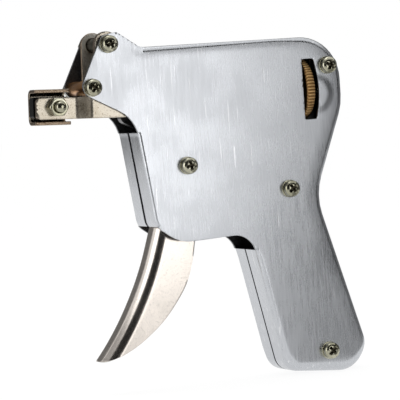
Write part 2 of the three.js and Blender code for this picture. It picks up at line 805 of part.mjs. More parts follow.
function triggerBody() {
  const inner = trigger_radius - trigger_sheet;
  const ear_rear = cocking_pin.x + cocking_ear_radius;
  const side = rounded([
    { x: cheek_front, z: cheek_front_low, r: cheek_corner },
    { x: cheek_low_front, z: cheek_low, r: 0 },
    { x: cheek_low_back, z: cheek_low, r: 0 },
    { x: cheek_back, z: cheek_back_low, r: cheek_corner * 2 },
    { x: ear_rear, z: cocking_pin.z - cocking_ear_radius, r: cocking_ear_radius },
    { x: ear_rear, z: cocking_pin.z + cocking_ear_radius, r: cocking_ear_radius },
    { x: cheek_back, z: trigger_hub_radius, r: cheek_corner },
    { x: -trigger_hub_radius, z: trigger_hub_radius, r: trigger_hub_radius * trigger_hub_share },
  ]);
  const bores = [
    plate(circle(pivots.trigger, holder_bore), ...through),
    plate(circle(cocking_pin, cocking_pin_radius + touch_gap), ...through),
  ];
  const cheeks = [plate(side, -trigger_radius, -inner), plate(side, inner, trigger_radius)];
  const top = new THREE.Vector2(trigger_back_start, trigger_back_top);
  const tip = new THREE.Vector2(trigger_back_end, trigger_back_low);
  const back = new THREE.SplineCurve(spread(trigger_back_shares, top, tip));
  const ahead = tip.x - trigger_radius;
  const kept = [
    ...back.getPoints(trigger_stations * 2),
    new THREE.Vector2(ahead, tip.y),
    new THREE.Vector2(ahead, top.y),
  ];
  const folded = solid(triggerChannel()).intersect(solid(plate(kept, ...through)));
  return cut(joined(folded, ...cheeks.map(solid)), ...bores.map(solid));
}

function cockingPin() {
  const end = trigger_radius + touch_gap * 4;
  return plate(circle(cocking_pin, cocking_pin_radius, pin_sides), -end, end);
}

// Hammer: a flat lever with a nose in front and a post that the main spring bears on
function hammerBody() {
  const { x, z } = pivots.hammer;
  const nx = -Math.sin(arm_angle) * hammer_arm_half;
  const nz = Math.cos(arm_angle) * hammer_arm_half;
  const long_arm = [
    { x: x + nx, z: z + nz },
    { x: hammer_nose.x + nx, z: hammer_nose.z + nz },
    { x: hammer_nose.x - nx, z: hammer_nose.z - nz },
    { x: x - nx, z: z - nz },
  ].map((p) => new THREE.Vector2(p.x, p.z));
  const post_top = spring_axis + hammer_post_rise;
  const foot_front = hammer_post_front - post_spread;
  const foot_rear = hammer_post_rear + post_spread * 2;
  const post_waist_height = spring_axis - post_waist;
  const post = rounded([
    { x: foot_front, z: armAt(foot_front), r: 0 },
    { x: foot_rear, z: armAt(foot_rear), r: 0 },
    { x: hammer_post_rear, z: post_waist_height, r: post_corner },
    { x: hammer_post_rear, z: post_top, r: post_top_corner },
    { x: hammer_post_front + post_top_corner, z: post_top, r: post_top_corner },
    { x: hammer_post_front, z: post_waist_height + post_top_corner, r: post_corner },
  ]);
  const half = hammer_thick / 2;
  const plates = [
    long_arm,
    post,
    circle(pivots.hammer, hammer_hub_radius),
    circle(hammer_nose, hammer_nose_radius),
  ].map((points) => solid(plate(points, -half, half)));
  const rear = hammer_post_rear;
  const seat = solid(bar(spring_axis, spring_radius + spring_wire, rear - half, rear));
  const spigot = solid(bar(spring_axis, spigot_radius, rear - half, rear + spigot_length));
  const hub = solid(plate(circle(pivots.hammer, hammer_hub_radius), -hammer_hub_half, hammer_hub_half));
  const bore = solid(plate(circle(pivots.hammer, holder_bore), ...through));
  return cut(joined(...plates, seat, spigot, hub), bore);
}

// A wire wound along a path: rings of a few sides carried by the path's own frame
function wire(points, radius, outward) {
  const rings = points.map((point, i) => {
    const before = points[Math.max(i - 1, 0)];
    const after = points[Math.min(i + 1, points.length - 1)];
    const run = after.clone().sub(before).normalize();
    const side = run.clone().cross(outward(point)).normalize();
    const up = side.clone().cross(run).normalize();
    return Array.from({ length: wire_sides }, (_, k) => {
      const turn = (2 * Math.PI * k) / wire_sides;
      return point
        .clone()
        .addScaledVector(up, radius * Math.cos(turn))
        .addScaledVector(side, radius * Math.sin(turn))
        .toArray();
    });
  });
  return tube(rings);
}

function tube(rings) {
  const count = rings[0].length;
  const index = [];
  for (let r = 0; r + 1 < rings.length; r++)
    for (let i = 0; i < count; i++) {
      const a = r * count + i;
      const b = r * count + ((i + 1) % count);
      index.push(a, b, a + count, b, b + count, a + count);
    }
  const last = (rings.length - 1) * count;
  for (let i = 1; i + 1 < count; i++) {
    index.push(0, i + 1, i);
    index.push(last, last + i, last + i + 1);
  }
  const geometry = new THREE.BufferGeometry();
  geometry.setAttribute("position", new THREE.Float32BufferAttribute(rings.flat(2), 3));
  geometry.setIndex(index);
  return geometry;
}

// Least gap between turns that lie side by side along the wire's axis
function turnGap(points, diameter) {
  let least = Infinity;
  points.forEach((a, i) =>
    points.slice(i + turn_steps - 1).forEach((b) => {
      least = Math.min(least, a.distanceTo(b) - diameter);
    }),
  );
  return least;
}

function mainSpring() {
  const left = hammer_post_rear + run_gap + spring_wire / 2;
  const right = slider_front - run_gap - spring_wire / 2;
  const steps = spring_turns * turn_steps;
  const points = Array.from({ length: steps + 1 }, (_, k) => {
    const turn = (2 * Math.PI * k) / turn_steps;
    const x = left + ((right - left) * k) / steps;
    return new THREE.Vector3(x, spring_radius * Math.cos(turn), spring_axis + spring_radius * Math.sin(turn));
  });
  console.log("main spring, least gap to itself:", turnGap(points, spring_wire).toFixed(2), "mm");
  return wire(points, spring_wire / 2, (p) => new THREE.Vector3(0, p.y, p.z - spring_axis));
}

// The trigger's return spring: turns round its sleeve, a short leg down inside the trigger, and
// a long leg back, held down by the hammer's sleeve
function returnSpring() {
  const reach = trigger_radius - trigger_sheet - run_gap - return_wire / 2;
  const steps = return_turns * turn_steps + turn_steps / 4;
  const coil = Array.from({ length: steps + 1 }, (_, k) => {
    const turn = -(2 * Math.PI * k) / turn_steps;
    const y = -reach + (2 * reach * k) / steps;
    return new THREE.Vector3(-return_radius * Math.cos(turn), y, return_radius * Math.sin(turn));
  });
  console.log("return spring, least gap to itself:", turnGap(coil, return_wire).toFixed(2), "mm");
  const down = new THREE.Vector3(-return_radius, -reach, -return_leg_down);
  const to_sleeve = new THREE.Vector2(pivots.hammer.x, pivots.hammer.z + return_radius);
  const under = sleeve_radius + run_gap + return_wire / 2;
  const aim = to_sleeve.angle() - Math.asin(under / to_sleeve.length());
  const length = to_sleeve.length() + return_leg_over;
  const run = new THREE.Vector3(length * Math.cos(aim), 0, length * Math.sin(aim));
  const back = coil.at(-1).clone().add(run);
  return wire([down, ...coil, back], return_wire / 2, () => new THREE.Vector3(0, 1, 0));
}

// Thumbwheel: ribs across the rim, a hub on each side, and its rod
function thumbwheel() {
  const outline = [];
  for (let k = 0; k < wheel_ribs; k++) {
    const pitch = (2 * Math.PI) / wheel_ribs;
    const rib = (pitch * rib_width_share) / 2;
    const root = pitch / 2 - rib * rib_flank_share;
    [[-root, rib_depth], [-rib, 0], [rib, 0], [root, rib_depth]].forEach(([turn, drop]) => {
      const angle = k * pitch + turn;
      const r = wheel_radius - drop;
      outline.push(new THREE.Vector2(r * Math.cos(angle), spring_axis + r * Math.sin(angle)));
    });
  }
  const left = wheel_middle - wheel_thick / 2;
  const rim = alongX(outline, left, left + wheel_thick);
  const hub = bar(spring_axis, wheel_hub_radius, front_lug + bracket_sheet + run_gap, rear_lug - run_gap);
  const bore = bar(spring_axis, rod_radius + touch_gap, front_lug, rear_lug);
  return cut(joined(solid(rim), solid(hub)), solid(bore));
}

function tensionRod() {
  return bar(spring_axis, rod_radius, rod_front, rod_rear);
}

function springSlider() {
  const low = bracket_floor + bracket_sheet + run_gap;
  const body = block(slider_front, slider_front + slider_thick, -slider_half_width, slider_half_width,
    low, spring_axis + slider_rise);
  const bore = bar(spring_axis, rod_radius + touch_gap * 3, slider_front - cut_over,
    slider_front + slider_thick + cut_over);
  return cut(solid(body), solid(bore));
}

// Bracket: a floor, two lugs that trap the wheel's hub, and two ears on the rear sleeve
function wheelBracket() {
  const w = lug_half_width;
  const floor_top = bracket_floor + bracket_sheet;
  const base = block(bracket_front, back_edge - bracket_heel, -w, w, bracket_floor, floor_top);
  const lugs = [
    block(front_lug, front_lug + bracket_sheet, -w, w, bracket_floor, spring_axis + lug_rise),
    block(rear_lug, rear_lug + bracket_sheet, -w, w, bracket_floor, pivots.rear.z),
  ];
  const ear = [
    ...circle(pivots.rear, bracket_ear_radius, round_sides * 2).slice(0, round_sides / 2 + 1),
    new THREE.Vector2(rear_lug, pivots.rear.z + bracket_ear_radius),
    new THREE.Vector2(rear_lug, pivots.rear.z - bracket_ear_radius * 3),
    new THREE.Vector2(rear_lug + bracket_sheet, pivots.rear.z - bracket_ear_radius * 3),
    ...circle(pivots.rear, bracket_ear_radius, round_sides * 2).slice(-round_sides / 2),
  ];
  const ears = [plate(ear, -w, -w + bracket_sheet), plate(ear, w - bracket_sheet, w)];
  const bores = [
    plate(circle(pivots.rear, sleeve_radius + touch_gap * 2), ...through),
    bar(spring_axis, rod_radius + touch_gap * 3, bracket_front, rod_rear + cut_over),
  ];
  return cut(joined(...[base, ...lugs, ...ears].map(solid)), ...bores.map(solid));
}

// Putting it together

const gun = new THREE.Group();
const holder = new THREE.Group();
holder.position.set(pivots.needle.x, 0, pivots.needle.z);
holder.rotation.y = rest_tilt;

function add(parent, name, shape, material, at = { x: 0, z: 0 }) {
  const geometry = shape.isBufferGeometry ? shape : geometryOf(shape);
  const mesh = new THREE.Mesh(geometry, material);
  mesh.name = name;
  mesh.position.set(at.x, 0, at.z);
  parent.add(mesh);
}

add(gun, "left_shell", halfShell(-1), steel);
add(gun, "right_shell", halfShell(1), steel);
add(gun, "trigger", triggerBody(), bright);
add(gun, "cocking_pin", cockingPin(), dark_steel);
add(gun, "trigger_return_spring", returnSpring(), dark_steel);
add(gun, "hammer", hammerBody(), dark_steel);
add(gun, "main_spring", mainSpring(), dark_steel);
add(gun, "thumbwheel", thumbwheel(), brass);
add(gun, "tension_rod", tensionRod(), zinc);
add(gun, "spring_slider", springSlider(), dark_steel);
add(gun, "wheel_bracket", wheelBracket(), zinc);
add(holder, "holder_frame", holderFrame(), nickel);
add(holder, "clamp_plate", clampPlate(), nickel);
add(holder, "needle_anvil", needleAnvil(), dark_steel);
add(holder, "clamp_stud", clampStud(), zinc);
add(holder, "clamp_nut", clampNut(), zinc);

const spacer_near = frame_cheek_near + frame_sheet + run_gap;
const leg_far = trigger_radius - trigger_sheet;
const hammer_near = hammer_hub_half + run_gap;
const trigger_near = trigger_radius + run_gap;
const collar = (near, far) => ring(collar_radius, holder_bore, near, far, hidden_sides);
add(gun, "holder_spacer", collar(spacer_near, wall), zinc, pivots.needle);
add(gun, "trigger_spacer_left", collar(-wall, -trigger_near), zinc, pivots.trigger);
add(gun, "trigger_spacer_right", collar(trigger_near, wall), zinc, pivots.trigger);
add(gun, "hammer_spacer_left", collar(-wall, -hammer_near), zinc, pivots.hammer);
add(gun, "hammer_spacer_right", collar(leg_far, wall), zinc, pivots.hammer);
for (const [name, at] of Object.entries(pivots)) {
  const material = name === "stop" ? bronze : zinc;
  add(gun, name + "_sleeve", sleeve(-wall, wall), material, at);
  add(gun, name + "_screw", screw(), zinc, at);
  add(gun, name + "_washer", flatWasher(), zinc, at);
  add(gun, name + "_spring_washer", springWasher(), zinc, at);
  add(gun, name + "_nut", nut(), zinc, at);
}
gun.add(holder);

// The seat: on the anvil, half way between the stud and the front end
const seat_x = (channel_front + stud_x) / 2;
const seat = new THREE.Vector3(seat_x, anvil_near, needle_axis);
seat.applyAxisAngle(new THREE.Vector3(0, 1, 0), rest_tilt).add(holder.position);
gun.position.copy(seat).negate();

const snap_gun = new THREE.Group();
snap_gun.add(gun);
export default snap_gun;
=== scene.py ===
import json

import bmesh
import bpy
import numpy as np
from mathutils import Matrix, Vector
from mathutils.geometry import delaunay_2d_cdt


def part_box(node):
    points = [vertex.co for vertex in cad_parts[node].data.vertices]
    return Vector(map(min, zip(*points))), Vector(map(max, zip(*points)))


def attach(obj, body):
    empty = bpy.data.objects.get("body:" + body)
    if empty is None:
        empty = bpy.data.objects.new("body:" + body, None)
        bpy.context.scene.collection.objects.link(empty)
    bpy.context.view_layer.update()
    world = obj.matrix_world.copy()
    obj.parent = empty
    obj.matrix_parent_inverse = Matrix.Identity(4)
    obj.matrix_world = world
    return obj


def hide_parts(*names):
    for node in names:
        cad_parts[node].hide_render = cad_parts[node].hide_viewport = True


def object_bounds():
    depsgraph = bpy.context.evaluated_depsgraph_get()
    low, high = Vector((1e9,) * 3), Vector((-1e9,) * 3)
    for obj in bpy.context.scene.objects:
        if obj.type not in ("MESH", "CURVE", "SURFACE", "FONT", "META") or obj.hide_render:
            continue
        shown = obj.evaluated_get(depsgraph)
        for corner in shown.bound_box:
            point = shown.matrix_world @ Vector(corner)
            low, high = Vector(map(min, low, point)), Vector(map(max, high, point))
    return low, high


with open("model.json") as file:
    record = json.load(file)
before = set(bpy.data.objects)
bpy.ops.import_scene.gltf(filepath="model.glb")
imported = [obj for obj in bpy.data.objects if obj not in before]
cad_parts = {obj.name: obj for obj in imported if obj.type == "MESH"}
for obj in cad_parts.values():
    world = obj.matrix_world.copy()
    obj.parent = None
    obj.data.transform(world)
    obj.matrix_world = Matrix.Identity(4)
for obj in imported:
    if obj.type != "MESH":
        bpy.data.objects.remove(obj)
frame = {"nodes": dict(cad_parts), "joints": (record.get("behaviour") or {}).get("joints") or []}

cad_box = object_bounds()
joints = {joint["name"]: joint for joint in frame["joints"]}
MM = 0.001


# The two half shells are drawn from 1.2 mm steel sheet: a flat side, a rolled edge and a wall that
# ends at the seam. The nose and the mouth above the trigger have no wall. The sides are brushed
# upright, and a lip beside the thumbwheel's slot is pressed out for the thumb.

# Flat outlines are measured in millimetres from the trigger's pivot, X back and Z up, and Y from
# the middle plane, where the two half shells part.
pivot = Vector(joints["trigger_pull"]["pos_m"])
pivot.y = (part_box("left_shell")[0].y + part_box("right_shell")[1].y) / 2
SHEET = 1.2
HALF_WIDTH = 12.5
SEAM, FRONT_SEAM = 0.6, 1.15
SHELL_CORNERS = np.array([
    (-37.5, 61.5, 2.0), (-30.3, 62.8, 2.0), (-19.3, 55.3, 5.0), (81.35, 55.3, 20.0),
    (81.35, 22.8, 25.0), (65.0, -18.8, 27.0), (89.95, -103.74, 12.5), (44.0, -99.6, 8.0),
    (29.7, -33.6, 10.5), (-6.0, -35.1, 18.0), (-17.3, -26.8, 7.0), (-23.9, 23.1, 16.0),
    (-49.9, 36.7, 5.0),
])
EAR_OPEN_AT, GRIP_WALL_AT = (-17.8, 55.3), (31.2, -41.5)
MOUTH_WALL_AT, NOSE_OPEN_AT = (-16.6, -27.4), (-23.0, 17.0)
BODY_BEND, GRIP_BEND, BUTT_BEND, BACK_BEND = 1.5, 2.6, 4.6, 2.8
GRIP_FROM, BUTT_FROM, BEND_BLEND = -38.0, -88.0, 10.0
BACK_FROM, BACK_RUN = 46.0, 24.0
TOP_FROM, TOP_RISE, EAR_FOOT, EAR_RUN = 46.0, 6.0, -24.0, 6.0
TOP_BEND, TOP_BEND_FROM, TOP_BEND_RUN = 2.7, -18.0, 62.0
BACK_CROWN, BACK_DROP = 6.0, 0.15
TOP_CROWN, TOP_DROP = 3.4, 0.2
SLOT_LEFT, SLOT_RIGHT, SLOT_BOW = 61.1, 67.1, 1.9
SLOT_LOW, SLOT_HIGH, SLOT_CORNER = 16.8, 45.1, 0.8
LIP_LENGTH, LIP_RISE, LIP_MIDDLE, LIP_HEIGHT, LIP_BORDER = 9.2, 9.4, 28.6, 0.32, 0.3
HOLE_RADIUS = 2.15
OUTLINE_STEP, GRID_STEP = 1.0, 1.3
SCREWS = ["needle", "stop", "trigger", "hammer", "rear", "butt"]


def rounded(corners, step=0.12):
    """A closed outline whose corners (x, z, r) are replaced by arcs that touch both sides."""
    points = []
    for i, (x, z, r) in enumerate(corners):
        at = np.array((x, z))
        back = np.array(corners[i - 1][:2]) - at
        on = np.array(corners[(i + 1) % len(corners)][:2]) - at
        back, on = back / np.hypot(*back), on / np.hypot(*on)
        if not r:
            points.append(at[None])
            continue
        half = np.arccos(np.clip(back @ on, -1, 1)) / 2
        centre = at + (back + on) / np.hypot(*(back + on)) * r / np.sin(half)
        start = at + back * r / np.tan(half) - centre
        side = np.sign(back[0] * on[1] - back[1] * on[0])
        turn = -side * np.linspace(0, np.pi - 2 * half, max(3, int((np.pi - 2 * half) / step)))
        arc_x = start[0] * np.cos(turn) - start[1] * np.sin(turn)
        arc_z = start[0] * np.sin(turn) + start[1] * np.cos(turn)
        points.append(centre + np.stack([arc_x, arc_z], 1))
    return np.concatenate(points)


def divided(points, spacing):
    """The closed outline with its long sides cut into equal lengths no longer than the spacing."""
    ends = np.roll(points, -1, 0)
    counts = np.maximum(np.ceil(np.hypot(*(ends - points).T) / spacing).astype(int), 1)
    cuts = [a + (b - a) * np.arange(n)[:, None] / n for a, b, n in zip(points, ends, counts)]
    return np.concatenate(cuts)


def outward(points):
    """Unit normals of a clockwise outline, pointing away from what it encloses."""
    along = np.roll(points, -1, 0) - np.roll(points, 1, 0)
    normal = np.stack([-along[:, 1], along[:, 0]], 1)
    return normal / np.hypot(*normal.T)[:, None]


def inside(points, outline):
    """True where a vertical ray up from the point crosses the outline an odd number of times."""
    a, b = outline[:, None], np.roll(outline, -1, 0)[:, None]
    spans = (a[..., 0] > points[:, 0]) != (b[..., 0] > points[:, 0])
    with np.errstate(divide="ignore", invalid="ignore"):
        slope = (b[..., 1] - a[..., 1]) / (b[..., 0] - a[..., 0])
        height = a[..., 1] + (points[:, 0] - a[..., 0]) * slope
    return ((height > points[:, 1]) & spans).sum(0) % 2 == 1


def filled(outline, holes, spacing):
    """Triangles over an outline with holes: the loops are kept, and a staggered grid of points
    at the spacing fills the space between them, so that the sheet can be shaped afterwards."""
    loops = [outline, *holes]
    low, high = outline.min(0), outline.max(0)
    x, z = np.meshgrid(np.arange(low[0], high[0], spacing), np.arange(low[1], high[1], spacing))
    x[::2] += spacing / 2
    free = np.stack([x.ravel(), z.ravel()], 1)
    edge = np.concatenate(loops)
    apart = np.hypot(free[:, None, 0] - edge[:, 0], free[:, None, 1] - edge[:, 1]).min(1)
    keep = inside(free, outline) & (apart > spacing * 0.55)
    for hole in holes:
        keep &= ~inside(free, hole)
    starts = np.cumsum([0] + [len(loop) for loop in loops])
    edges = [(s + i, s + (i + 1) % (e - s)) for s, e in zip(starts, starts[1:]) for i in range(e - s)]
    points = [Vector(p) for p in np.concatenate([edge, free[keep]])]
    made = delaunay_2d_cdt(points, edges, [], 1, 1e-9)
    corners = np.array([tuple(p) for p in made[0]])
    faces = np.array(made[2])
    centre = corners[faces].mean(1)
    keep = inside(centre, outline)
    for hole in holes:
        keep &= ~inside(centre, hole)
    return corners, faces[keep]


def at_level(flat, y):
    """Points of a flat surface (X, Z) at a level along Y, or at one level each."""
    return np.stack([flat[:, 0], np.broadcast_to(y, len(flat)), flat[:, 1]], 1)


def skin(rows, columns, close_rows=False, close_columns=False):
    """Quads over a grid of points, joined end to end along either side if asked."""
    index = np.arange(rows * columns).reshape(rows, columns)
    if close_rows:
        index = np.concatenate([index, index[:1]])
    if close_columns:
        index = np.concatenate([index, index[:, :1]], 1)
    return np.stack([index[:-1, :-1], index[:-1, 1:], index[1:, 1:], index[1:, :-1]], -1).reshape(-1, 4)


def joined(*parts):
    """Points and faces of several surfaces as one."""
    points, faces, total = [], [], 0
    for some, over in parts:
        some = np.asarray(some).reshape(-1, 3)
        points.append(some)
        faces += [tuple(int(i) + total for i in face) for face in over]
        total += len(some)
    return np.concatenate(points), faces


def make_piece(name, surface, body, materials, replaced=(), merge=0.01):
    """Puts a surface (millimetres from the trigger's pivot) into a smooth-shaded mesh: near points
    are merged first, and then its faces are turned outwards."""
    points, faces = surface
    places = np.asarray(points).reshape(-1, 3) * MM + np.array(pivot)
    mesh = bpy.data.meshes.new(name)
    mesh.from_pydata(places.tolist(), [], [tuple(int(i) for i in face) for face in faces])
    build = bmesh.new()
    build.from_mesh(mesh)
    bmesh.ops.remove_doubles(build, verts=build.verts, dist=merge * MM)
    bmesh.ops.recalc_face_normals(build, faces=build.faces)
    build.to_mesh(mesh)
    build.free()
    mesh.shade_smooth()
    for material in materials:
        mesh.materials.append(material)
    piece = bpy.data.objects.new(name, mesh)
    bpy.context.scene.collection.objects.link(piece)
    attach(piece, body)
    if replaced:
        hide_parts(*replaced)
    return piece


def thicken(piece, thickness, back=0):
    """Gives a sheet its wall, inwards from the faces drawn: its cut edges have the second material
    and, if asked, its back has another one."""
    solid = piece.modifiers.new("wall", "SOLIDIFY")
    solid.thickness = thickness * MM
    solid.offset = -1
    solid.material_offset_rim = 1
    solid.material_offset = back


def ease_edges(piece, width, angle=0.7, material=-1):
    """Breaks the sharp edges, so that they catch the light as a real edge does, and keeps the
    flats flat by weighting the normals by area."""
    bevel = piece.modifiers.new("broken_edges", "BEVEL")
    bevel.width = width * MM
    bevel.segments = 2
    bevel.limit_method = "ANGLE"
    bevel.angle_limit = angle
    bevel.material = material
    flat = piece.modifiers.new("flat_sides", "WEIGHTED_NORMAL")
    flat.weight = 60


def node(tree, kind, inputs=None, **settings):
    """Adds a shader node. An input is a value, or the output socket that feeds it."""
    made = tree.nodes.new("ShaderNode" + kind)
    for name, value in settings.items():
        setattr(made, name, value)
    for key, value in (inputs or {}).items():
        if isinstance(value, bpy.types.NodeSocket):
            tree.links.new(value, made.inputs[key])
        else:
            made.inputs[key].default_value = value
    return made


def group(tree, shared, inputs):
    """Adds a shared node group and feeds its named sockets."""
    return node(tree, "Group", inputs, node_tree=shared).outputs


def new_group(name, inputs, outputs):
    """Starts a shader node group with named sockets and returns it with its two end nodes."""
    tree = bpy.data.node_groups.new(name, "ShaderNodeTree")
    for label, kind, value in inputs:
        socket = tree.interface.new_socket(label, in_out="INPUT", socket_type="NodeSocket" + kind)
        if value is not None:
            socket.default_value = value
    for label in outputs:
        tree.interface.new_socket(label, in_out="OUTPUT", socket_type="NodeSocketFloat")
    return tree, tree.nodes.new("NodeGroupInput"), tree.nodes.new("NodeGroupOutput")


def ramp(tree, value, low, high, to_low=0.0, to_high=1.0):
    """Maps a value from one range to another with a soft start and end."""
    made = node(tree, "MapRange", {0: value, 1: low, 2: high, 3: to_low, 4: to_high},
                interpolation_type="SMOOTHSTEP")
    return made.outputs[0]


def blend(tree, factor, first, second):
    """Mixes two colours."""
    return node(tree, "Mix", {0: factor, 6: first, 7: second}, data_type="RGBA").outputs[2]


def math(tree, operation, *values):
    """One step of arithmetic on shader values."""
    return node(tree, "Math", dict(enumerate(values)), operation=operation).outputs[0]


def noise(tree, vector, scale, detail=2.0, roughness=0.5):
    """A noise value of so many grains per metre."""
    inputs = {"Vector": vector, "Scale": scale, "Detail": detail, "Roughness": roughness}
    return node(tree, "TexNoise", inputs).outputs[0]


def raised(tree, shader, height, strength, distance):
    """Lets a height bend the shader's normal."""
    bump = node(tree, "Bump", {"Strength": strength, "Distance": distance, "Height": height})
    tree.links.new(bump.outputs[0], shader.inputs["Normal"])


def brushed_grain():
    """Long fine streaks and single scratches along Z: noise that is stretched along the grain."""
    tree, enter, leave = new_group(
        "brushed_grain",
        [("Vector", "Vector", None), ("Lines per metre", "Float", 1700.0), ("Stretch", "Float", 0.05)],
        ["Streaks", "Scratches", "Clouds", "Height"],
    )
    squeeze = node(tree, "CombineXYZ", {0: 1.0, 1: 1.0, 2: enter.outputs["Stretch"]})
    along = node(tree, "VectorMath", {0: enter.outputs["Vector"], 1: squeeze.outputs[0]},
                 operation="MULTIPLY").outputs[0]
    streaks = noise(tree, along, enter.outputs["Lines per metre"], 3.0, 0.6)
    scratches = ramp(tree, noise(tree, along, 1150.0, 0.0), 0.72, 0.80)
    clouds = noise(tree, enter.outputs["Vector"], 45.0, 3.0)
    height = math(tree, "SUBTRACT", streaks, scratches)
    for label, socket in (("Streaks", streaks), ("Scratches", scratches), ("Clouds", clouds),
                          ("Height", height)):
        tree.links.new(socket, leave.inputs[label])
    return tree


GRAIN = brushed_grain()


def new_material(name, metallic, roughness, tone=(0.8, 0.8, 0.8, 1)):
    """A material with its Principled shader and Object coordinates, ready for its own nodes."""
    material = bpy.data.materials.new(name)
    material.use_nodes = True
    tree = material.node_tree
    shader = tree.nodes["Principled BSDF"]
    shader.inputs["Metallic"].default_value = metallic
    shader.inputs["Roughness"].default_value = roughness
    shader.inputs["Base Color"].default_value = tone
    place = node(tree, "TexCoord").outputs["Object"]
    return material, tree, shader, place


def brushed_steel():
    """Satin steel: streaks shift the tone and the gloss, scratches are brighter, and the gloss
    drifts in clouds."""
    material, tree, shader, place = new_material("satin_brushed_steel", 1.0, 0.3)
    grain = group(tree, GRAIN, {"Vector": place})
    streaks = ramp(tree, grain["Streaks"], 0.30, 0.70)
    tone = blend(tree, streaks, (0.512, 0.527, 0.552, 1), (0.586, 0.601, 0.626, 1))
    tone = blend(tree, grain["Scratches"], tone, (0.70, 0.71, 0.73, 1))
    tree.links.new(tone, shader.inputs["Base Color"])
    drift = ramp(tree, grain["Clouds"], 0.3, 0.7, 0.25, 0.31)
    streaked = ramp(tree, grain["Streaks"], 0.3, 0.7, -0.03, 0.04)
    tree.links.new(math(tree, "ADD", drift, streaked), shader.inputs["Roughness"])
    raised(tree, shader, grain["Height"], 0.10, 0.00005)
    return material


def cut_edge(name, dark, light, roughness):
    """A sheared or sawn sheet edge: torn across, so mottled and dull."""
    material, tree, shader, place = new_material(name, 1.0, roughness)
    torn = noise(tree, place, 1400.0, 4.0, 0.7)
    tree.links.new(blend(tree, ramp(tree, torn, 0.35, 0.65), dark, light), shader.inputs["Base Color"])
    raised(tree, shader, torn, 0.35, 0.0001)
    return material


def eased(share):
    """A share from 0 to 1 with a soft start and end."""
    return share * share * (3 - 2 * share)


def bend_radius(points):
    """The rolled edge's radius: small in front, wider on top and less so from the ear back, wider
    down the grip, widest round the butt, and nowhere less than the soft edge's down the back."""
    low = points[:, 1]
    grip, butt = (np.clip((start - low) / BEND_BLEND, 0, 1) for start in (GRIP_FROM, BUTT_FROM))
    grip, butt = eased(grip), eased(butt)
    front = BODY_BEND + (GRIP_BEND - BODY_BEND) * grip + (BUTT_BEND - GRIP_BEND) * butt
    above = top_share(points) * np.clip(1 - (points[:, 0] - TOP_BEND_FROM) / TOP_BEND_RUN, 0, 1)
    front = front + (TOP_BEND - BODY_BEND) * above
    return np.maximum(front, BODY_BEND + (BACK_BEND - BODY_BEND) * back_share(points))


def slot_outline():
    """The thumbwheel's slot: straight on the left, bowed on the right, with small corners."""
    t = np.linspace(-1, 1, 29)
    middle, half = (SLOT_LOW + SLOT_HIGH) / 2, (SLOT_HIGH - SLOT_LOW) / 2
    right = np.stack([SLOT_RIGHT + SLOT_BOW * (1 - t * t), middle + half * t], 1)
    corners = [(*point, SLOT_CORNER if i in (0, 28) else 0) for i, point in enumerate(right)]
    corners += [(SLOT_LEFT, SLOT_HIGH, SLOT_CORNER), (SLOT_LEFT, SLOT_LOW, SLOT_CORNER)]
    return divided(rounded(corners, 0.3), 1.2)


def centre_of(name):
    """A node's axis, as X and Z in millimetres from the trigger's pivot."""
    low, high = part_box(name)
    return ((low + high) / 2 - pivot).xz / MM


def circle(centre, radius, count=28):
    """A round loop of points in X and Z."""
    turn = np.arange(count) * 2 * np.pi / count
    return np.stack([centre[0] + radius * np.cos(turn), centre[1] + radius * np.sin(turn)], 1)


def lip_share(points):
    """How much of the lip a place has: a flat tongue beside the slot with a round, sloping border."""
    q = np.hypot((points[:, 0] - SLOT_RIGHT) / LIP_LENGTH, (points[:, 1] - LIP_MIDDLE) / LIP_RISE)
    return eased(np.clip((1 - q) / LIP_BORDER, 0, 1)) * (points[:, 0] > SLOT_LEFT + 2)


def back_share(points):
    """How much of the back edge's softness reaches a place: none in front, all at the back."""
    return eased(np.clip((points[:, 0] - BACK_FROM) / BACK_RUN, 0, 1))


def top_share(points):
    """1 along the top edge, from the foot of the ear on, and 0 below it."""
    above = np.clip((points[:, 1] - TOP_FROM) / TOP_RISE, 0, 1)
    return eased(above * np.clip((points[:, 0] - EAR_FOOT) / EAR_RUN, 0, 1))


def crown(points, outline, bend):
    """How far the flat side falls away towards the bends, as the square of the way to them: over a
    short stretch along the top edge, and over a longer one down the back."""
    away = np.hypot(points[:, None, 0] - outline[:, 0], points[:, None, 1] - outline[:, 1])
    nearest = away.argmin(1)
    behind, above = back_share(outline), top_share(outline)
    drop = BACK_DROP * behind + TOP_DROP * above * (1 - behind)
    run = BACK_CROWN * behind + TOP_CROWN * (1 - behind)
    share = np.clip(1 - (away.min(1) - bend[nearest]) / run[nearest], 0, 1)
    return drop[nearest] * share * share, drop


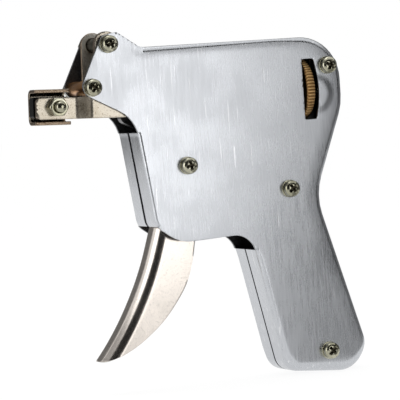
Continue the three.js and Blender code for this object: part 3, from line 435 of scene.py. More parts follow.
def shell_skin(side):
    """A half shell's outer skin: the filled side, then strips along the outline whose section is a
    quarter round of the local bend radius and a straight wall down to the seam."""
    outline = divided(rounded(SHELL_CORNERS), OUTLINE_STEP)
    normal = outward(outline)
    bend = bend_radius(outline)
    count = len(outline)
    ends = [int(np.hypot(*(outline - at).T).argmin())
            for at in (EAR_OPEN_AT, GRIP_WALL_AT, MOUTH_WALL_AT, NOSE_OPEN_AT)]
    runs = [np.arange(ends[0], ends[1] + 1), np.arange(ends[2], ends[3] + 1)]
    walled = np.zeros(count, bool)
    for run in runs:
        walled[run] = True
    edge = outline - normal * np.where(walled, bend, 0)[:, None]
    rim = []
    for i in range(count):
        if walled[i] and not walled[i - 1]:
            rim.append(outline[i])
        rim.append(edge[i])
        if walled[i] and not walled[(i + 1) % count]:
            rim.append(outline[i])
    holes = [circle(centre_of(name + "_sleeve"), HOLE_RADIUS) for name in SCREWS]
    flat, faces = filled(np.array(rim), [slot_outline(), *holes], GRID_STEP)
    fall, drop = crown(flat, outline, bend)
    lip = lip_share(flat)
    parts = [(at_level(flat, fall * (1 - lip) - lip * LIP_HEIGHT - HALF_WIDTH), faces)]
    turn = np.linspace(0, np.pi / 2, 11)[:, None]
    down = np.linspace(0, 1, 4)[1:, None]
    for run, seam in zip(runs, (SEAM, FRONT_SEAM)):
        r = bend[run]
        inset = np.concatenate([r * (1 - np.sin(turn)), np.zeros((3, len(run)))])
        level = drop[run] - HALF_WIDTH + r * (1 - np.cos(turn))
        level = np.concatenate([level, level[-1] + (-seam - level[-1]) * down])
        x = outline[run, 0] - normal[run, 0] * inset
        z = outline[run, 1] - normal[run, 1] * inset
        parts.append((np.stack([x, level, z], -1), skin(*level.shape)))
    points, faces = joined(*parts)
    points[:, 1] *= -side
    return points, faces


housing_steel = brushed_steel()
shell_edge = cut_edge("shell_cut_edge", (0.20, 0.21, 0.22, 1), (0.42, 0.43, 0.45, 1), 0.38)
# The shells' inner side is painted near black, as shade inside the housing.
shell_inner_shade = cut_edge("shell_inner_painted_shade", (0.07, 0.07, 0.072, 1), (0.13, 0.13, 0.132, 1), 0.5)
for name, side in (("left_shell", -1), ("right_shell", 1)):
    shell = make_piece(name + "_pressing", shell_skin(side), "housing",
                       [housing_steel, shell_edge, shell_inner_shade], [name])
    thicken(shell, SHEET, 2)
    ease_edges(shell, 0.18)


# Tubes and collars between the half shells, on each screw: turned steel, zinc plated, with the ends
# faced and broken, and painted near black as shade inside the housing. The one on the lower front
# screw is bare bronze, and the holder rests on it.
SLEEVE_BORE, COLLAR_BORE, BREAK = 2.2, 3.35, 0.2


def plating_mottle():
    """Plated metal: soft clouds of tone, and small dark pits where the plate is thin."""
    tree, enter, leave = new_group(
        "plating_mottle",
        [("Vector", "Vector", None), ("Clouds per metre", "Float", 160.0),
         ("Pits per metre", "Float", 1600.0)],
        ["Clouds", "Grains", "Pits", "Height"],
    )
    clouds = noise(tree, enter.outputs["Vector"], enter.outputs["Clouds per metre"], 4.0, 0.6)
    fine = noise(tree, enter.outputs["Vector"], enter.outputs["Pits per metre"], 2.0, 0.6)
    pits = ramp(tree, fine, 0.60, 0.72)
    height = math(tree, "SUBTRACT", clouds, pits)
    for label, socket in (("Clouds", clouds), ("Grains", fine), ("Pits", pits), ("Height", height)):
        tree.links.new(socket, leave.inputs[label])
    return tree


MOTTLE = plating_mottle()


def plated(name, dark, light, pit, roughness, clouds=160.0, pits=1600.0, bump=0.06, spread=0.08):
    """Plated or bare metal whose tone and gloss drift in clouds, with darker pits. Where a piece carries
    an attribute that darkens it, it is darker and duller: painted shade with some dirt in the screws'
    recesses, and a darker band across the clamp plate's step."""
    material, tree, shader, place = new_material(name, 1.0, roughness)
    mottle = group(tree, MOTTLE, {"Vector": place, "Clouds per metre": clouds, "Pits per metre": pits})
    tone = blend(tree, ramp(tree, mottle["Clouds"], 0.32, 0.68), dark, light)
    tone = blend(tree, mottle["Pits"], tone, pit)
    # The piece's darkening, broken up by grains: painted shade with some dirt in the screws' recesses, and
    # the darker band on the clamp plate's step.
    darkening = node(tree, "Attribute", attribute_name="darkening").outputs["Fac"]
    darkening = math(tree, "MULTIPLY", darkening, ramp(tree, mottle["Grains"], 0.35, 0.65, 0.82, 1.0))
    tone = blend(tree, darkening, tone, (0.05, 0.04, 0.026, 1))
    tree.links.new(tone, shader.inputs["Base Color"])
    gloss = ramp(tree, mottle["Clouds"], 0.3, 0.7, roughness - spread / 2, roughness + spread / 2)
    tree.links.new(math(tree, "MULTIPLY_ADD", darkening, 0.35, gloss), shader.inputs["Roughness"])
    raised(tree, shader, mottle["Height"], bump, 0.0001)
    return material


zinc = plated("yellow_zinc", (0.30, 0.29, 0.21, 1), (0.50, 0.485, 0.385, 1),
              (0.14, 0.125, 0.075, 1), 0.17)
bronze = plated("bare_bronze", (0.42, 0.20, 0.07, 1), (0.74, 0.42, 0.18, 1),
                (0.16, 0.08, 0.035, 1), 0.32)


def turned(section, centre, closed=True, count=48):
    """A section of (radius, y) points carried round an axis along Y. It is closed, or else open with
    both its ends on the axis."""
    turn = np.arange(count)[:, None] * 2 * np.pi / count
    r, y = np.asarray(section).T
    x = centre[0] + r * np.cos(turn)
    z = centre[1] + r * np.sin(turn)
    return np.stack([x, np.broadcast_to(y, x.shape), z], -1), skin(count, len(r), True, closed)


def ends_of(name, axis=1):
    """Where a node begins and ends in millimetres: along Y from the middle plane, or along another
    axis from the trigger's pivot."""
    return [(corner[axis] - pivot[axis]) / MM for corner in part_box(name)]


def ring_section(name, bore, radius, corner, step):
    """The section of a ring as long as a node, as (radius, y) points: a rectangle whose corners
    are broken."""
    near, far = ends_of(name)
    return rounded([(bore, near, corner), (radius, near, corner), (radius, far, corner),
                    (bore, far, corner)], step)


def ring_of(name, bore, corner=BREAK, radius=None):
    """A ring where a node is: its box gives both ends and, if need be, the radius."""
    low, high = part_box(name)
    radius = radius or (high.x - low.x) / 2 / MM
    return turned(ring_section(name, bore, radius, corner, 0.5), centre_of(name))


# A near black copy of the zinc for the tubes, collars and the wheel's bracket: painted shade, where they sit
# inside the housing.
shaded_zinc = plated("zinc_painted_shade", (0.07, 0.066, 0.052, 1), (0.14, 0.133, 0.105, 1),
               (0.035, 0.03, 0.025, 1), 0.34)
for name in SCREWS:
    metal, slot = (bronze, "sleeve_bronze") if name == "stop" else (shaded_zinc, "zinc_steel")
    make_piece(name + "_tube", ring_of(name + "_sleeve", SLEEVE_BORE), "housing", [metal],
               [name + "_sleeve"])
for name in ("holder_spacer", "trigger_spacer_left", "trigger_spacer_right", "hammer_spacer_left",
             "hammer_spacer_right"):
    make_piece(name.replace("spacer", "collar"), ring_of(name, COLLAR_BORE), "housing",
               [shaded_zinc], [name])


# Pan head screws with a cross recess, M4, yellow zinc plated: driven from the near side through a
# washer, a spring washer, both shells and a tube, into a nut on the far side.
HEAD_RADIUS, HEAD_HEIGHT, HEAD_SEAT = 3.8, 2.9, -14.45
DOME_SHARE, DOME_POWER, RIM_SHARE, HEAD_EDGE = 0.84, 2.8, 0.42, 0.1
SHANK_RADIUS, SCREW_TIP, TIP_CHAMFER, TIP_SHARE = 1.95, 16.5, 0.5, 0.78
THREAD_PITCH, THREAD_DEPTH = 0.7, 0.14
RECESS_TOP, RECESS_FLOOR, RECESS_DEPTH, RECESS_BOW = (1.45, 4.9), (0.6, 1.7), 1.9, 0.4
# How deep in the recess its painted shade begins, how softly a darkening comes in (here and on the clamp
# plate's step), and how far out from the recess's middle the shade reaches, as a share of its span.
RECESS_SHADE_DEPTH, DARKENING_BLEND, RECESS_SHADE_SHARE = 0.05, 0.5, 0.52
RECESS_TURNS = {"needle": 0.35, "stop": 0.95, "trigger": 0.2, "hammer": 0.6, "rear": 1.2, "butt": 0.75}
WASHER_BORE, WASHER_RADIUS, WASHER_EDGE, SPLIT_TURN = 2.15, 4.1, 0.12, 0.2
NUT_FLATS, NUT_BORE, NUT_MOUTH, NUT_CONE = 7.0, 2.0, 0.3, 0.96


def cross_outline(width, span, turn):
    """A cross recess seen from the head: four arms of a width and a span, with eased corners."""
    w, s, e = width / 2, span / 2, min(width, span - width) * 0.2
    corners = [(w, s, e), (w, w, e), (s, w, e), (s, -w, e), (w, -w, e), (w, -s, e), (-w, -s, e),
               (-w, -w, e), (-s, -w, e), (-s, w, e), (-w, w, e), (-w, s, e)]
    x, z = rounded(corners, 0.4).T
    return np.stack([x * np.cos(turn) - z * np.sin(turn), x * np.sin(turn) + z * np.cos(turn)], 1)


def head_level(radius):
    """The head's domed top: a flattened round, from the crown down to the rim."""
    share = np.clip(radius / HEAD_RADIUS, 0, 1)
    return HEAD_SEAT - HEAD_HEIGHT * (RIM_SHARE + (1 - RIM_SHARE) * np.sqrt(1 - share**DOME_POWER))


def threaded(radius, depth, pitch, start, end, rib_wear_and_shade=0.0):
    """A thread as (radius, place) points: rings whose radius falls and rises once a pitch, and is
    full at the crest."""
    run = np.arange(start, end, pitch / 6)
    wave = radius - depth * (0.5 - 0.5 * np.cos(2 * np.pi * (run - rib_wear_and_shade) / pitch))
    return list(zip(wave, run))


def screw_surface(centre, turn):
    """The head's top filled round its recess, the recess, the dome's rim, the seat, the shank, and
    the thread at the tip."""
    mouth = cross_outline(*RECESS_TOP, turn)
    floor = cross_outline(*RECESS_FLOOR, turn)
    top, faces = filled(circle((0, 0), HEAD_RADIUS * DOME_SHARE, 48), [mouth], 0.42)
    parts = [(at_level(top, head_level(np.hypot(*top.T))), faces)]
    share = np.array((0, 0.08, 0.5, 1.0))[:, None]
    walls = mouth + (floor - mouth) * share[..., None]
    level = head_level(np.hypot(*mouth.T)) * (1 - share) + (HEAD_SEAT - HEAD_HEIGHT + RECESS_DEPTH) * share
    level = level + RECESS_BOW * share * (1 - share)
    parts.append((np.stack([walls[..., 0], level, walls[..., 1]], -1), skin(4, len(mouth), False, True)))
    bottom, faces = filled(floor, [], 0.4)
    parts.append((at_level(bottom, level[-1, 0]), faces))
    radius = HEAD_RADIUS * np.sin(np.linspace(np.arcsin(DOME_SHARE), np.pi / 2, 9))
    profile = list(zip(radius, head_level(radius)))
    profile += [(HEAD_RADIUS, HEAD_SEAT - HEAD_EDGE), (HEAD_RADIUS - HEAD_EDGE, HEAD_SEAT),
                (SHANK_RADIUS, HEAD_SEAT)]
    profile += threaded(SHANK_RADIUS, THREAD_DEPTH, THREAD_PITCH, HALF_WIDTH, SCREW_TIP - TIP_CHAMFER)
    profile += [(SHANK_RADIUS * TIP_SHARE, SCREW_TIP), (0.0, SCREW_TIP)]
    parts.append(turned(profile, (0, 0), False))
    points, faces = joined(*parts)
    return points + np.array((centre[0], 0, centre[1])), faces


def points_of(piece):
    """X, Y and Z of a piece's points, in millimetres from the trigger's pivot."""
    places = np.empty(len(piece.data.vertices) * 3)
    piece.data.vertices.foreach_get("co", places)
    return ((places.reshape(-1, 3) - np.array(pivot)) / MM).T


def mark(piece, name, values):
    """Stores a value at each of a piece's points, for its material to read."""
    piece.data.attributes.new(name, "FLOAT", "POINT").data.foreach_set("value", values)


def paint_recess_shade(piece, centre):
    """Painted shade, with some dirt, in the recess: an attribute that is 1 deep in it and 0 on the dome, by
    which the material darkens it.
    """
    x, y, z = points_of(piece)
    radius = np.hypot(x - centre[0], z - centre[1])
    sunk = np.clip((y - head_level(radius) - RECESS_SHADE_DEPTH) / DARKENING_BLEND, 0, 1)
    mark(piece, "darkening", sunk * (radius < RECESS_TOP[1] * RECESS_SHADE_SHARE) * (y < HEAD_SEAT))


def split_ring(name, bore):
    """A spring washer: a square section carried almost all the way round, with both ends shown."""
    low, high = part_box(name)
    r, y = ring_section(name, bore, (high.z - low.z) / 2 / MM, WASHER_EDGE, 0.8).T
    turn = np.linspace(SPLIT_TURN / 2, 2 * np.pi - SPLIT_TURN / 2, 47)[:, None]
    x0, z0 = centre_of(name[:name.index("_")] + "_sleeve")
    x = x0 + r * np.cos(turn)
    grid = np.stack([x, np.broadcast_to(y, x.shape), z0 + r * np.sin(turn)], -1)
    count = len(r)
    faces = [*skin(47, count, False, True), tuple(range(count)), tuple(range(46 * count, 47 * count))]
    return grid, faces


def nut_surface(centre, flats, bore, near, far, start=0.0, count=96):
    """A hexagon nut whose corners are turned off at 30 degrees at both ends: in each direction the
    flat's distance is its width over the cosine, and the chamfer starts where that passes a cone."""
    turn = np.arange(count) * 2 * np.pi / count
    reach = flats / 2 / np.cos((turn - start) % (np.pi / 3) - np.pi / 6)
    cone = flats / 2 * NUT_CONE
    drop = (reach - cone) * np.tan(np.pi / 6)
    even = np.ones(count)
    rows = [(bore * even, (far - NUT_MOUTH) * even), ((bore + NUT_MOUTH) * even, far * even),
            (cone * even, far * even), (reach, far - drop), (reach, near + drop), (cone * even, near * even),
            ((bore + NUT_MOUTH) * even, near * even), (bore * even, (near + NUT_MOUTH) * even)]
    r, y = np.array(rows).transpose(1, 0, 2)
    grid = np.stack([centre[0] + r * np.cos(turn), y, centre[1] + r * np.sin(turn)], -1)
    return grid, skin(len(rows), count, True, True)


for name in SCREWS:
    axis = centre_of(name + "_sleeve")
    screw = make_piece(name + "_pan_screw", screw_surface(axis, RECESS_TURNS[name]), "housing",
                       [zinc], [name + "_screw"], 0.002)
    # The recess is darkened with painted shade and some dirt.
    paint_recess_shade(screw, axis)
    ease_edges(screw, 0.06, 0.9)
    flat_ring = ring_of(name + "_washer", WASHER_BORE, WASHER_EDGE, WASHER_RADIUS)
    make_piece(name + "_flat_washer", flat_ring, "housing", [zinc], [name + "_washer"])
    make_piece(name + "_split_washer", split_ring(name + "_spring_washer", WASHER_BORE), "housing",
               [zinc], [name + "_spring_washer"])
    hexagon = nut_surface(axis, NUT_FLATS, NUT_BORE, *ends_of(name + "_nut"))
    hex_nut = make_piece(name + "_hex_nut", hexagon, "housing", [zinc], [name + "_nut"])
    ease_edges(hex_nut, 0.08, 0.4)


# The trigger is folded from 1.3 mm sheet and bright nickel plated: a half round front edge that
# bends towards the tip, and two flat cheeks that end in a curved edge behind. Its ears, inside the
# housing, turn on the pivot's tube and hold the cocking pin.
TRIGGER_HALF, TRIGGER_SHEET, LEAST_DEPTH = 5.4, 1.3, 0.05
TRIGGER_FRONT = np.array([(-10.8, -16.0), (-14.9, -29.86), (-20.2, -45.26), (-26.6, -59.12),
                          (-35.0, -73.37), (-44.6, -86.07), (-51.8, -92.3)])
TRIGGER_BACK = np.array([(6.4, -14.0), (5.5, -24.99), (3.5, -35.62), (1.5, -44.84), (-2.1, -54.41),
                         (-7.9, -62.92), (-14.5, -70.37), (-22.3, -76.75), (-30.0, -81.6),
                         (-39.0, -85.5), (-44.6, -86.6), (-47.4, -84.9)])
HUB_RADIUS, PIN_EAR, EAR_SINK = 7.4, 4.2, 0.03
PIN_BORE, TURNING_BORE = 2.05, 3.35


def smooth_path(points, count):
    """A curve through points, each stretch a cubic that follows the chords beside it."""
    p = np.vstack([2 * points[0] - points[1], points, 2 * points[-1] - points[-2]])
    t = np.linspace(0, len(points) - 1, count)
    i = np.minimum(t.astype(int), len(points) - 2)
    s = (t - i)[:, None]
    a, b, c, d = p[i], p[i + 1], p[i + 2], p[i + 3]
    return 0.5 * (2 * b + (c - a) * s + (2 * a - 5 * b + 4 * c - d) * s**2 + (3 * b - a - 3 * c + d) * s**3)


def trigger_skin(stations=110, across=81):
    """Outer skin of the folded channel. At each station along the front edge the sheet leaves it
    square on both sides, in a quarter round of half the trigger's width and then straight, for the
    length that takes it to the back edge. Near the tip the back edge cuts into the round itself."""
    front = smooth_path(TRIGGER_FRONT, 400)
    back = smooth_path(TRIGGER_BACK, 600)
    along = np.gradient(front, axis=0)
    along /= np.hypot(*along.T)[:, None]
    square = np.stack([-along[:, 1], along[:, 0]], 1)
    offset = back[None] - front[:, None]
    beside = (offset * along[:, None]).sum(-1)
    nearest = np.abs(beside).argmin(1)
    depth = (offset * square[:, None]).sum(-1)[np.arange(400), nearest]
    last = np.argmax(depth < LEAST_DEPTH)
    pick = np.linspace(0, 1, stations) ** 0.85 * last
    front, square, depth = (np.stack([np.interp(pick, np.arange(400), column) for column in value.T], -1)
                            for value in (front, square, depth[:, None]))
    depth = np.maximum(depth, LEAST_DEPTH)
    bow = np.arccos(np.clip(1 - depth / TRIGGER_HALF, 0, 1))
    length = TRIGGER_HALF * bow + np.maximum(depth - TRIGGER_HALF, 0)
    run = np.linspace(-1, 1, across)[None] * length
    angle = np.minimum(np.abs(run) / TRIGGER_HALF, np.pi / 2)
    inward = TRIGGER_HALF * (1 - np.cos(angle)) + np.maximum(np.abs(run) - TRIGGER_HALF * np.pi / 2, 0)
    side = np.sign(run) * TRIGGER_HALF * np.sin(angle)
    x = front[:, :1] + square[:, :1] * inward
    z = front[:, 1:] + square[:, 1:] * inward
    return np.stack([x, side, z], -1), skin(stations, across)


def slab(outline, holes, near, far, spacing=1.5):
    """A flat plate: two filled sides and the walls between them."""
    flat, faces = filled(outline, holes, spacing)
    parts = [(at_level(flat, y), faces) for y in (near, far)]
    for loop in (outline, *holes):
        x = np.stack([loop[:, 0]] * 2)
        y = np.stack([np.full(len(loop), near), np.full(len(loop), far)])
        z = np.stack([loop[:, 1]] * 2)
        parts.append((np.stack([x, y, z], -1), skin(2, len(loop), False, True)))
    return joined(*parts)


bright_nickel = plated("bright_nickel", (0.655, 0.605, 0.555, 1), (0.725, 0.67, 0.615, 1),
                       (0.48, 0.43, 0.385, 1), 0.19, 90.0, 1900.0, 0.03, 0.05)
nickel_edge = cut_edge("nickel_cut_edge", (0.30, 0.27, 0.24, 1), (0.55, 0.50, 0.45, 1), 0.35)
folded = make_piece("trigger_fold", trigger_skin(), "trigger",
                    [bright_nickel, nickel_edge], ["trigger"])
thicken(folded, TRIGGER_SHEET)
ease_edges(folded, 0.4)
pin_x, pin_z = centre_of("cocking_pin")
ear = rounded([(-8.6, -24, 2), (-6.5, -33, 0), (3.2, -33, 0), (6, -12, 6),
               (pin_x + PIN_EAR, pin_z - PIN_EAR, PIN_EAR), (pin_x + PIN_EAR, pin_z + PIN_EAR, PIN_EAR),
               (6, HUB_RADIUS, 3), (-HUB_RADIUS, HUB_RADIUS, HUB_RADIUS * 0.95)])
ear_holes = [circle((0, 0), TURNING_BORE), circle((pin_x, pin_z), PIN_BORE)]
outer, inner = TRIGGER_HALF - EAR_SINK, TRIGGER_HALF - TRIGGER_SHEET
ears = joined(slab(ear, ear_holes, -outer, -inner), slab(ear, ear_holes, inner, outer))
ease_edges(make_piece("trigger_ears", ears, "trigger", [bright_nickel]), 0.15)


# The cocking pin is a ground steel pin pressed through the trigger's ears, domed at both ends. It
# lifts the hammer's arm when the trigger is pulled.
PIN_END = [(0, 0), (1.2, 0.05), (1.75, 0.25), (2, 0.6)]


def tempered(name, dark, light, roughness):
    """Hardened steel left dark by its tempering: clouds from grey to brown under a film of oil."""
    return plated(name, dark, light, (0.05, 0.045, 0.04, 1), roughness, 120.0, 1300.0, 0.08, 0.12)


dark_steel = tempered("tempered_steel", (0.13, 0.13, 0.135, 1), (0.24, 0.235, 0.23, 1), 0.38)
near, far = ends_of("cocking_pin")
pin_profile = [*((r, near + y) for r, y in PIN_END), *((r, far - y) for r, y in reversed(PIN_END))]
make_piece("cocking_dowel", turned(pin_profile, (pin_x, pin_z), False), "trigger",
           [dark_steel], ["cocking_pin"])


# The springs are drawn wire: the trigger's return spring round its tube, and the main spring
# between the hammer's post and the slider. They flex with the joints, so they stay as they are.
spring_steel = tempered("spring_wire", (0.22, 0.22, 0.225, 1), (0.36, 0.355, 0.35, 1), 0.3)


def finish(name, material):
    """Gives a node that stays its material."""
    for slot in frame["nodes"][name].material_slots:
        slot.material = material


for name in ("trigger_return_spring", "main_spring"):
    finish(name, spring_steel)


# The hammer is cut from 4 mm plate and hardened: an arm with a rounded nose that strikes the
# holder's tab, and a post for the main spring. The slider is a block that the rod passes through,
# and the bracket is folded from plated sheet.
finish("hammer", dark_steel)
finish("spring_slider", dark_steel)
# The wheel's bracket takes the near black zinc, as painted shade inside the housing.
finish("wheel_bracket", shaded_zinc)


# The thumbwheel is turned from brass with straight ribs across its rim, and runs on a threaded
# steel rod. Turning it moves the slider and sets the main spring.
WHEEL_RADIUS, WHEEL_HALF, WHEEL_MIDDLE, WHEEL_RIBS, RIB_DEPTH = 14.6, 2.1, 64.6, 60, 0.5
WHEEL_HUB, WHEEL_BORE, WHEEL_BREAK, RIB_FLATNESS = 5.0, 2.45, 0.3, 1.6
# How dark the grooves stay, as painted shade, and how much brighter wear has rubbed the crests.
GROOVE_SHADE, CREST_WEAR = 0.1, 0.85
# The rim's rounding: how far in from the side, how far under the rim, and how much of a rib it has.
WHEEL_RIM = [(0, 1.4, 0), (0.1, 0.7, 0.4), (0.45, 0.2, 0.9), (0.8, 0, 1), (1.6, 0, 1)]
ROD_RADIUS, ROD_PITCH, ROD_DEPTH, ROD_START = 2.4, 0.8, 0.16, 0.6
# The rod's end: how far in, and the radius there.
ROD_END = [(0, 0.02), (0, 1.9), (0.3, 2.15)]


def along_x(section, centre_z, count, waved=None):
    """A closed section of (x, radius) points carried round an axis along X. Points that are marked
    as waved rise and fall with the ribs."""
    turn = np.arange(count)[:, None] * 2 * np.pi / count
    x, r = np.asarray(section).T
    r = np.broadcast_to(r, (count, len(r)))
    if waved is not None:
        wave = np.clip(np.cos(turn * WHEEL_RIBS) * RIB_FLATNESS, -1, 1)
        r = r - waved * RIB_DEPTH * (0.5 - 0.5 * wave)
    y, z = r * np.cos(turn), centre_z + r * np.sin(turn)
    return np.stack([np.broadcast_to(x, y.shape), y, z], -1), skin(count, len(x), True, True)


def brass_wear_and_shade():
    """Brass: dark brown between the ribs, as painted shade in the grooves, and rubbed brighter on their
    crests by wear.
    """
    material, tree, shader, place = new_material("brass_wear_and_shade", 1.0, 0.36)
    mottle = group(tree, MOTTLE, {"Vector": place, "Clouds per metre": 260.0, "Pits per metre": 2400.0})
    wear_and_shade = node(tree, "Attribute", attribute_name="rib_wear_and_shade").outputs["Fac"]
    tone = blend(tree, wear_and_shade, (0.20, 0.10, 0.035, 1), (0.66, 0.43, 0.19, 1))
    tone = blend(tree, mottle["Pits"], tone, (0.16, 0.085, 0.035, 1))
    tree.links.new(tone, shader.inputs["Base Color"])
    tree.links.new(ramp(tree, mottle["Clouds"], 0.3, 0.7, 0.30, 0.46), shader.inputs["Roughness"])
    raised(tree, shader, mottle["Height"], 0.1, 0.0001)
    return material


brass = brass_wear_and_shade()
axis_z = centre_of("thumbwheel")[1]
hub_low, hub_high = ends_of("thumbwheel", 0)
left, right = WHEEL_MIDDLE - WHEEL_HALF, WHEEL_MIDDLE + WHEEL_HALF
wheel_section = np.array([
    (hub_low, WHEEL_BORE, 0), (hub_low, WHEEL_HUB - WHEEL_BREAK, 0),
    (hub_low + WHEEL_BREAK, WHEEL_HUB, 0), (left, WHEEL_HUB, 0),
    *((left + x, WHEEL_RADIUS - under, rib) for x, under, rib in WHEEL_RIM),
    *((right - x, WHEEL_RADIUS - under, rib) for x, under, rib in reversed(WHEEL_RIM)),
    (right, WHEEL_HUB, 0), (hub_high - WHEEL_BREAK, WHEEL_HUB, 0),
    (hub_high, WHEEL_HUB - WHEEL_BREAK, 0), (hub_high, WHEEL_BORE, 0)])
ribbed = along_x(wheel_section[:, :2], axis_z, WHEEL_RIBS * 10, wheel_section[:, 2])
wheel = make_piece("ribbed_thumbwheel", ribbed, "wheel", [brass], ["thumbwheel"], 0.001)
x, y, z = points_of(wheel)
# Painted shade darkens the grooves, and wear brightens the crests.
rib_wear_and_shade = np.clip((np.hypot(y, z - axis_z) - (WHEEL_RADIUS - RIB_DEPTH)) / RIB_DEPTH, 0, 1)
mark(wheel, "rib_wear_and_shade", rib_wear_and_shade * CREST_WEAR + GROOVE_SHADE)
ease_edges(wheel, 0.12, 1.0)
low, high = ends_of("tension_rod", 0)
thread = threaded(ROD_RADIUS, ROD_DEPTH, ROD_PITCH, low + ROD_START, high - ROD_START)
rod_section = [*((low + x, r) for x, r in ROD_END), *((x, r) for r, x in thread),
               *((high - x, r) for x, r in reversed(ROD_END))]
make_piece("threaded_rod", along_x(rod_section, axis_z, 32), "wheel", [zinc],
           ["tension_rod"], 0.001)


# The needle holder's frame is bent from 1.6 mm sheet, plated a warm nickel: a channel that the
# needle lies in, open towards the screw heads, a neck, a stepped cheek on the needle's pivot, and a
# tab behind that the hammer strikes. The sheared edges are brown.
TILT = np.radians(2.2)
NEEDLE_AXIS = -27.7
CHEEK_RADIUS, NECK_TOP, NECK_BOTTOM = 5.8, NEEDLE_AXIS + 4.3, NEEDLE_AXIS - 5.5
TAIL_REAR, TAIL_TOP = 8.5, NEEDLE_AXIS + 7.7
FRAME_SHEET, PLATE_SHEET = 1.6, 2.0
CHANNEL = (-32.6, -15.5)
CHANNEL_NEAR, CHANNEL_FAR, CHANNEL_HALF, CHANNEL_BEND = -3.4, 5.9, 8.1, 3.3
FRAME_CHEEK_FAR, PLATE_CHEEK_NEAR, PLATE_NEAR, TAB_NEAR = 8.0, -10.8, -5.3, -8.5
STUD_X, STUD_BORE = -22.95, 2.6
NOTCH_RADIUS = 3.5
NECK_STEP, TAB_CORNER = (-11.5, -8.0), 0.3


def tilted(surface):
    """Moves a surface drawn level round the needle's pivot to where the holder rests."""
    points, faces = surface
    x, y, z = np.asarray(points).reshape(-1, 3).T
    at = centre_of("needle_sleeve")
    turned_x = at[0] + x * np.cos(TILT) + z * np.sin(TILT)
    turned_z = at[1] - x * np.sin(TILT) + z * np.cos(TILT)
    return np.stack([turned_x, y, turned_z], 1), faces


def cheek_outline(front, corner):
    """A cheek with its neck: an arch round the pivot, a front edge that the lower sleeve bites
    into, and a tail behind. Points inside the bite are pushed out to its edge."""
    x, z = centre_of("stop_sleeve") - centre_of("needle_sleeve")
    bite = np.array((x * np.cos(TILT) - z * np.sin(TILT), x * np.sin(TILT) + z * np.cos(TILT)))
    arch = np.pi * np.arange(41) / 40
    corners = [(CHEEK_RADIUS * np.cos(t), CHEEK_RADIUS * np.sin(t), 0) for t in arch]
    corners += [(-CHEEK_RADIUS, NECK_TOP, 0), (front, NECK_TOP, corner), (front, NECK_BOTTOM, corner),
                (TAIL_REAR, NECK_BOTTOM, 0), (TAIL_REAR, TAIL_TOP, 0),
                (CHEEK_RADIUS, TAIL_TOP + CHEEK_RADIUS, 0)]
    points = divided(rounded(corners), 0.5)
    away = points - bite
    reach = np.hypot(*away.T)
    pushed = bite + away / reach[:, None] * NOTCH_RADIUS
    return np.where((reach < NOTCH_RADIUS)[:, None], pushed, points)


def stepped(outline, holes, start, end, level, other):
    """A sheet whose face eases from one level along Y to another between two places along X."""
    flat, faces = filled(outline, holes, 0.9)
    share = np.clip((flat[:, 0] - start) / (end - start), 0, 1)
    return at_level(flat, level + (other - level) * eased(share)), faces


def rectangle(left, right, low, high, corner):
    """A rectangle's outline with round corners."""
    return rounded([(left, low, corner), (left, high, corner), (right, high, corner),
                    (right, low, corner)])


def holder_nickel(name, dark, light, roughness):
    """Warm nickel over sheared sheet: sandy specks, soft clouds, and brown rubbed into the pits."""
    return plated(name, dark, light, (0.22, 0.165, 0.11, 1), roughness, 150.0, 1500.0, 0.12, 0.1)


warm_nickel = holder_nickel("warm_nickel", (0.36, 0.32, 0.255, 1), (0.62, 0.565, 0.475, 1), 0.27)
brown_edge = cut_edge("brown_cut_edge", (0.16, 0.11, 0.075, 1), (0.42, 0.33, 0.24, 1), 0.34)
pivot_bore = circle((0, 0), TURNING_BORE)
section = rounded([(CHANNEL_NEAR, NEEDLE_AXIS - CHANNEL_HALF, 0),
                   (CHANNEL_FAR, NEEDLE_AXIS - CHANNEL_HALF, CHANNEL_BEND),
                   (CHANNEL_FAR, NEEDLE_AXIS + CHANNEL_HALF, CHANNEL_BEND),
                   (CHANNEL_NEAR, NEEDLE_AXIS + CHANNEL_HALF, 0)])
steps = np.linspace(*CHANNEL, 20)[:, None]
channel = np.stack(np.broadcast_arrays(steps, section[:, 0], section[:, 1]), -1)
channel_piece = make_piece("holder_channel", tilted((channel, skin(20, len(section)))), "holder",
                           [warm_nickel, brown_edge], ["holder_frame"])
thicken(channel_piece, FRAME_SHEET)
ease_edges(channel_piece, 0.3)
neck = stepped(cheek_outline(CHANNEL[1] - 1, 0), [pivot_bore], *NECK_STEP, CHANNEL_FAR, FRAME_CHEEK_FAR)
# The far cheek takes a lighter, duller copy of the holder's nickel: painted light where the near cheek and
# the shells shade it.
nickel_painted_light = holder_nickel("nickel_painted_light", (0.40, 0.38, 0.335, 1), (0.74, 0.71, 0.64, 1), 0.5)
neck_piece = make_piece("holder_cheek", tilted(neck), "holder",
                        [nickel_painted_light, brown_edge])
thicken(neck_piece, FRAME_SHEET)
ease_edges(neck_piece, 0.3, material=1)
tab = rectangle(TAIL_REAR - FRAME_SHEET, TAIL_REAR, NECK_BOTTOM, TAIL_TOP, TAB_CORNER)
tab = slab(divided(tab, 2), [], TAB_NEAR, FRAME_CHEEK_FAR - FRAME_SHEET, 2)
ease_edges(make_piece("strike_tab", tilted(tab), "holder", [warm_nickel]), 0.2)


# The clamp plate is the near cheek, 2 mm thick: it steps out of the housing and presses the needle
# against a hardened block in the channel. A stud riveted through the channel carries its nut.
PLATE_STEP, PLATE_FRONT, PLATE_CORNER = (-13.4, -7.9), -32.5, 2.1
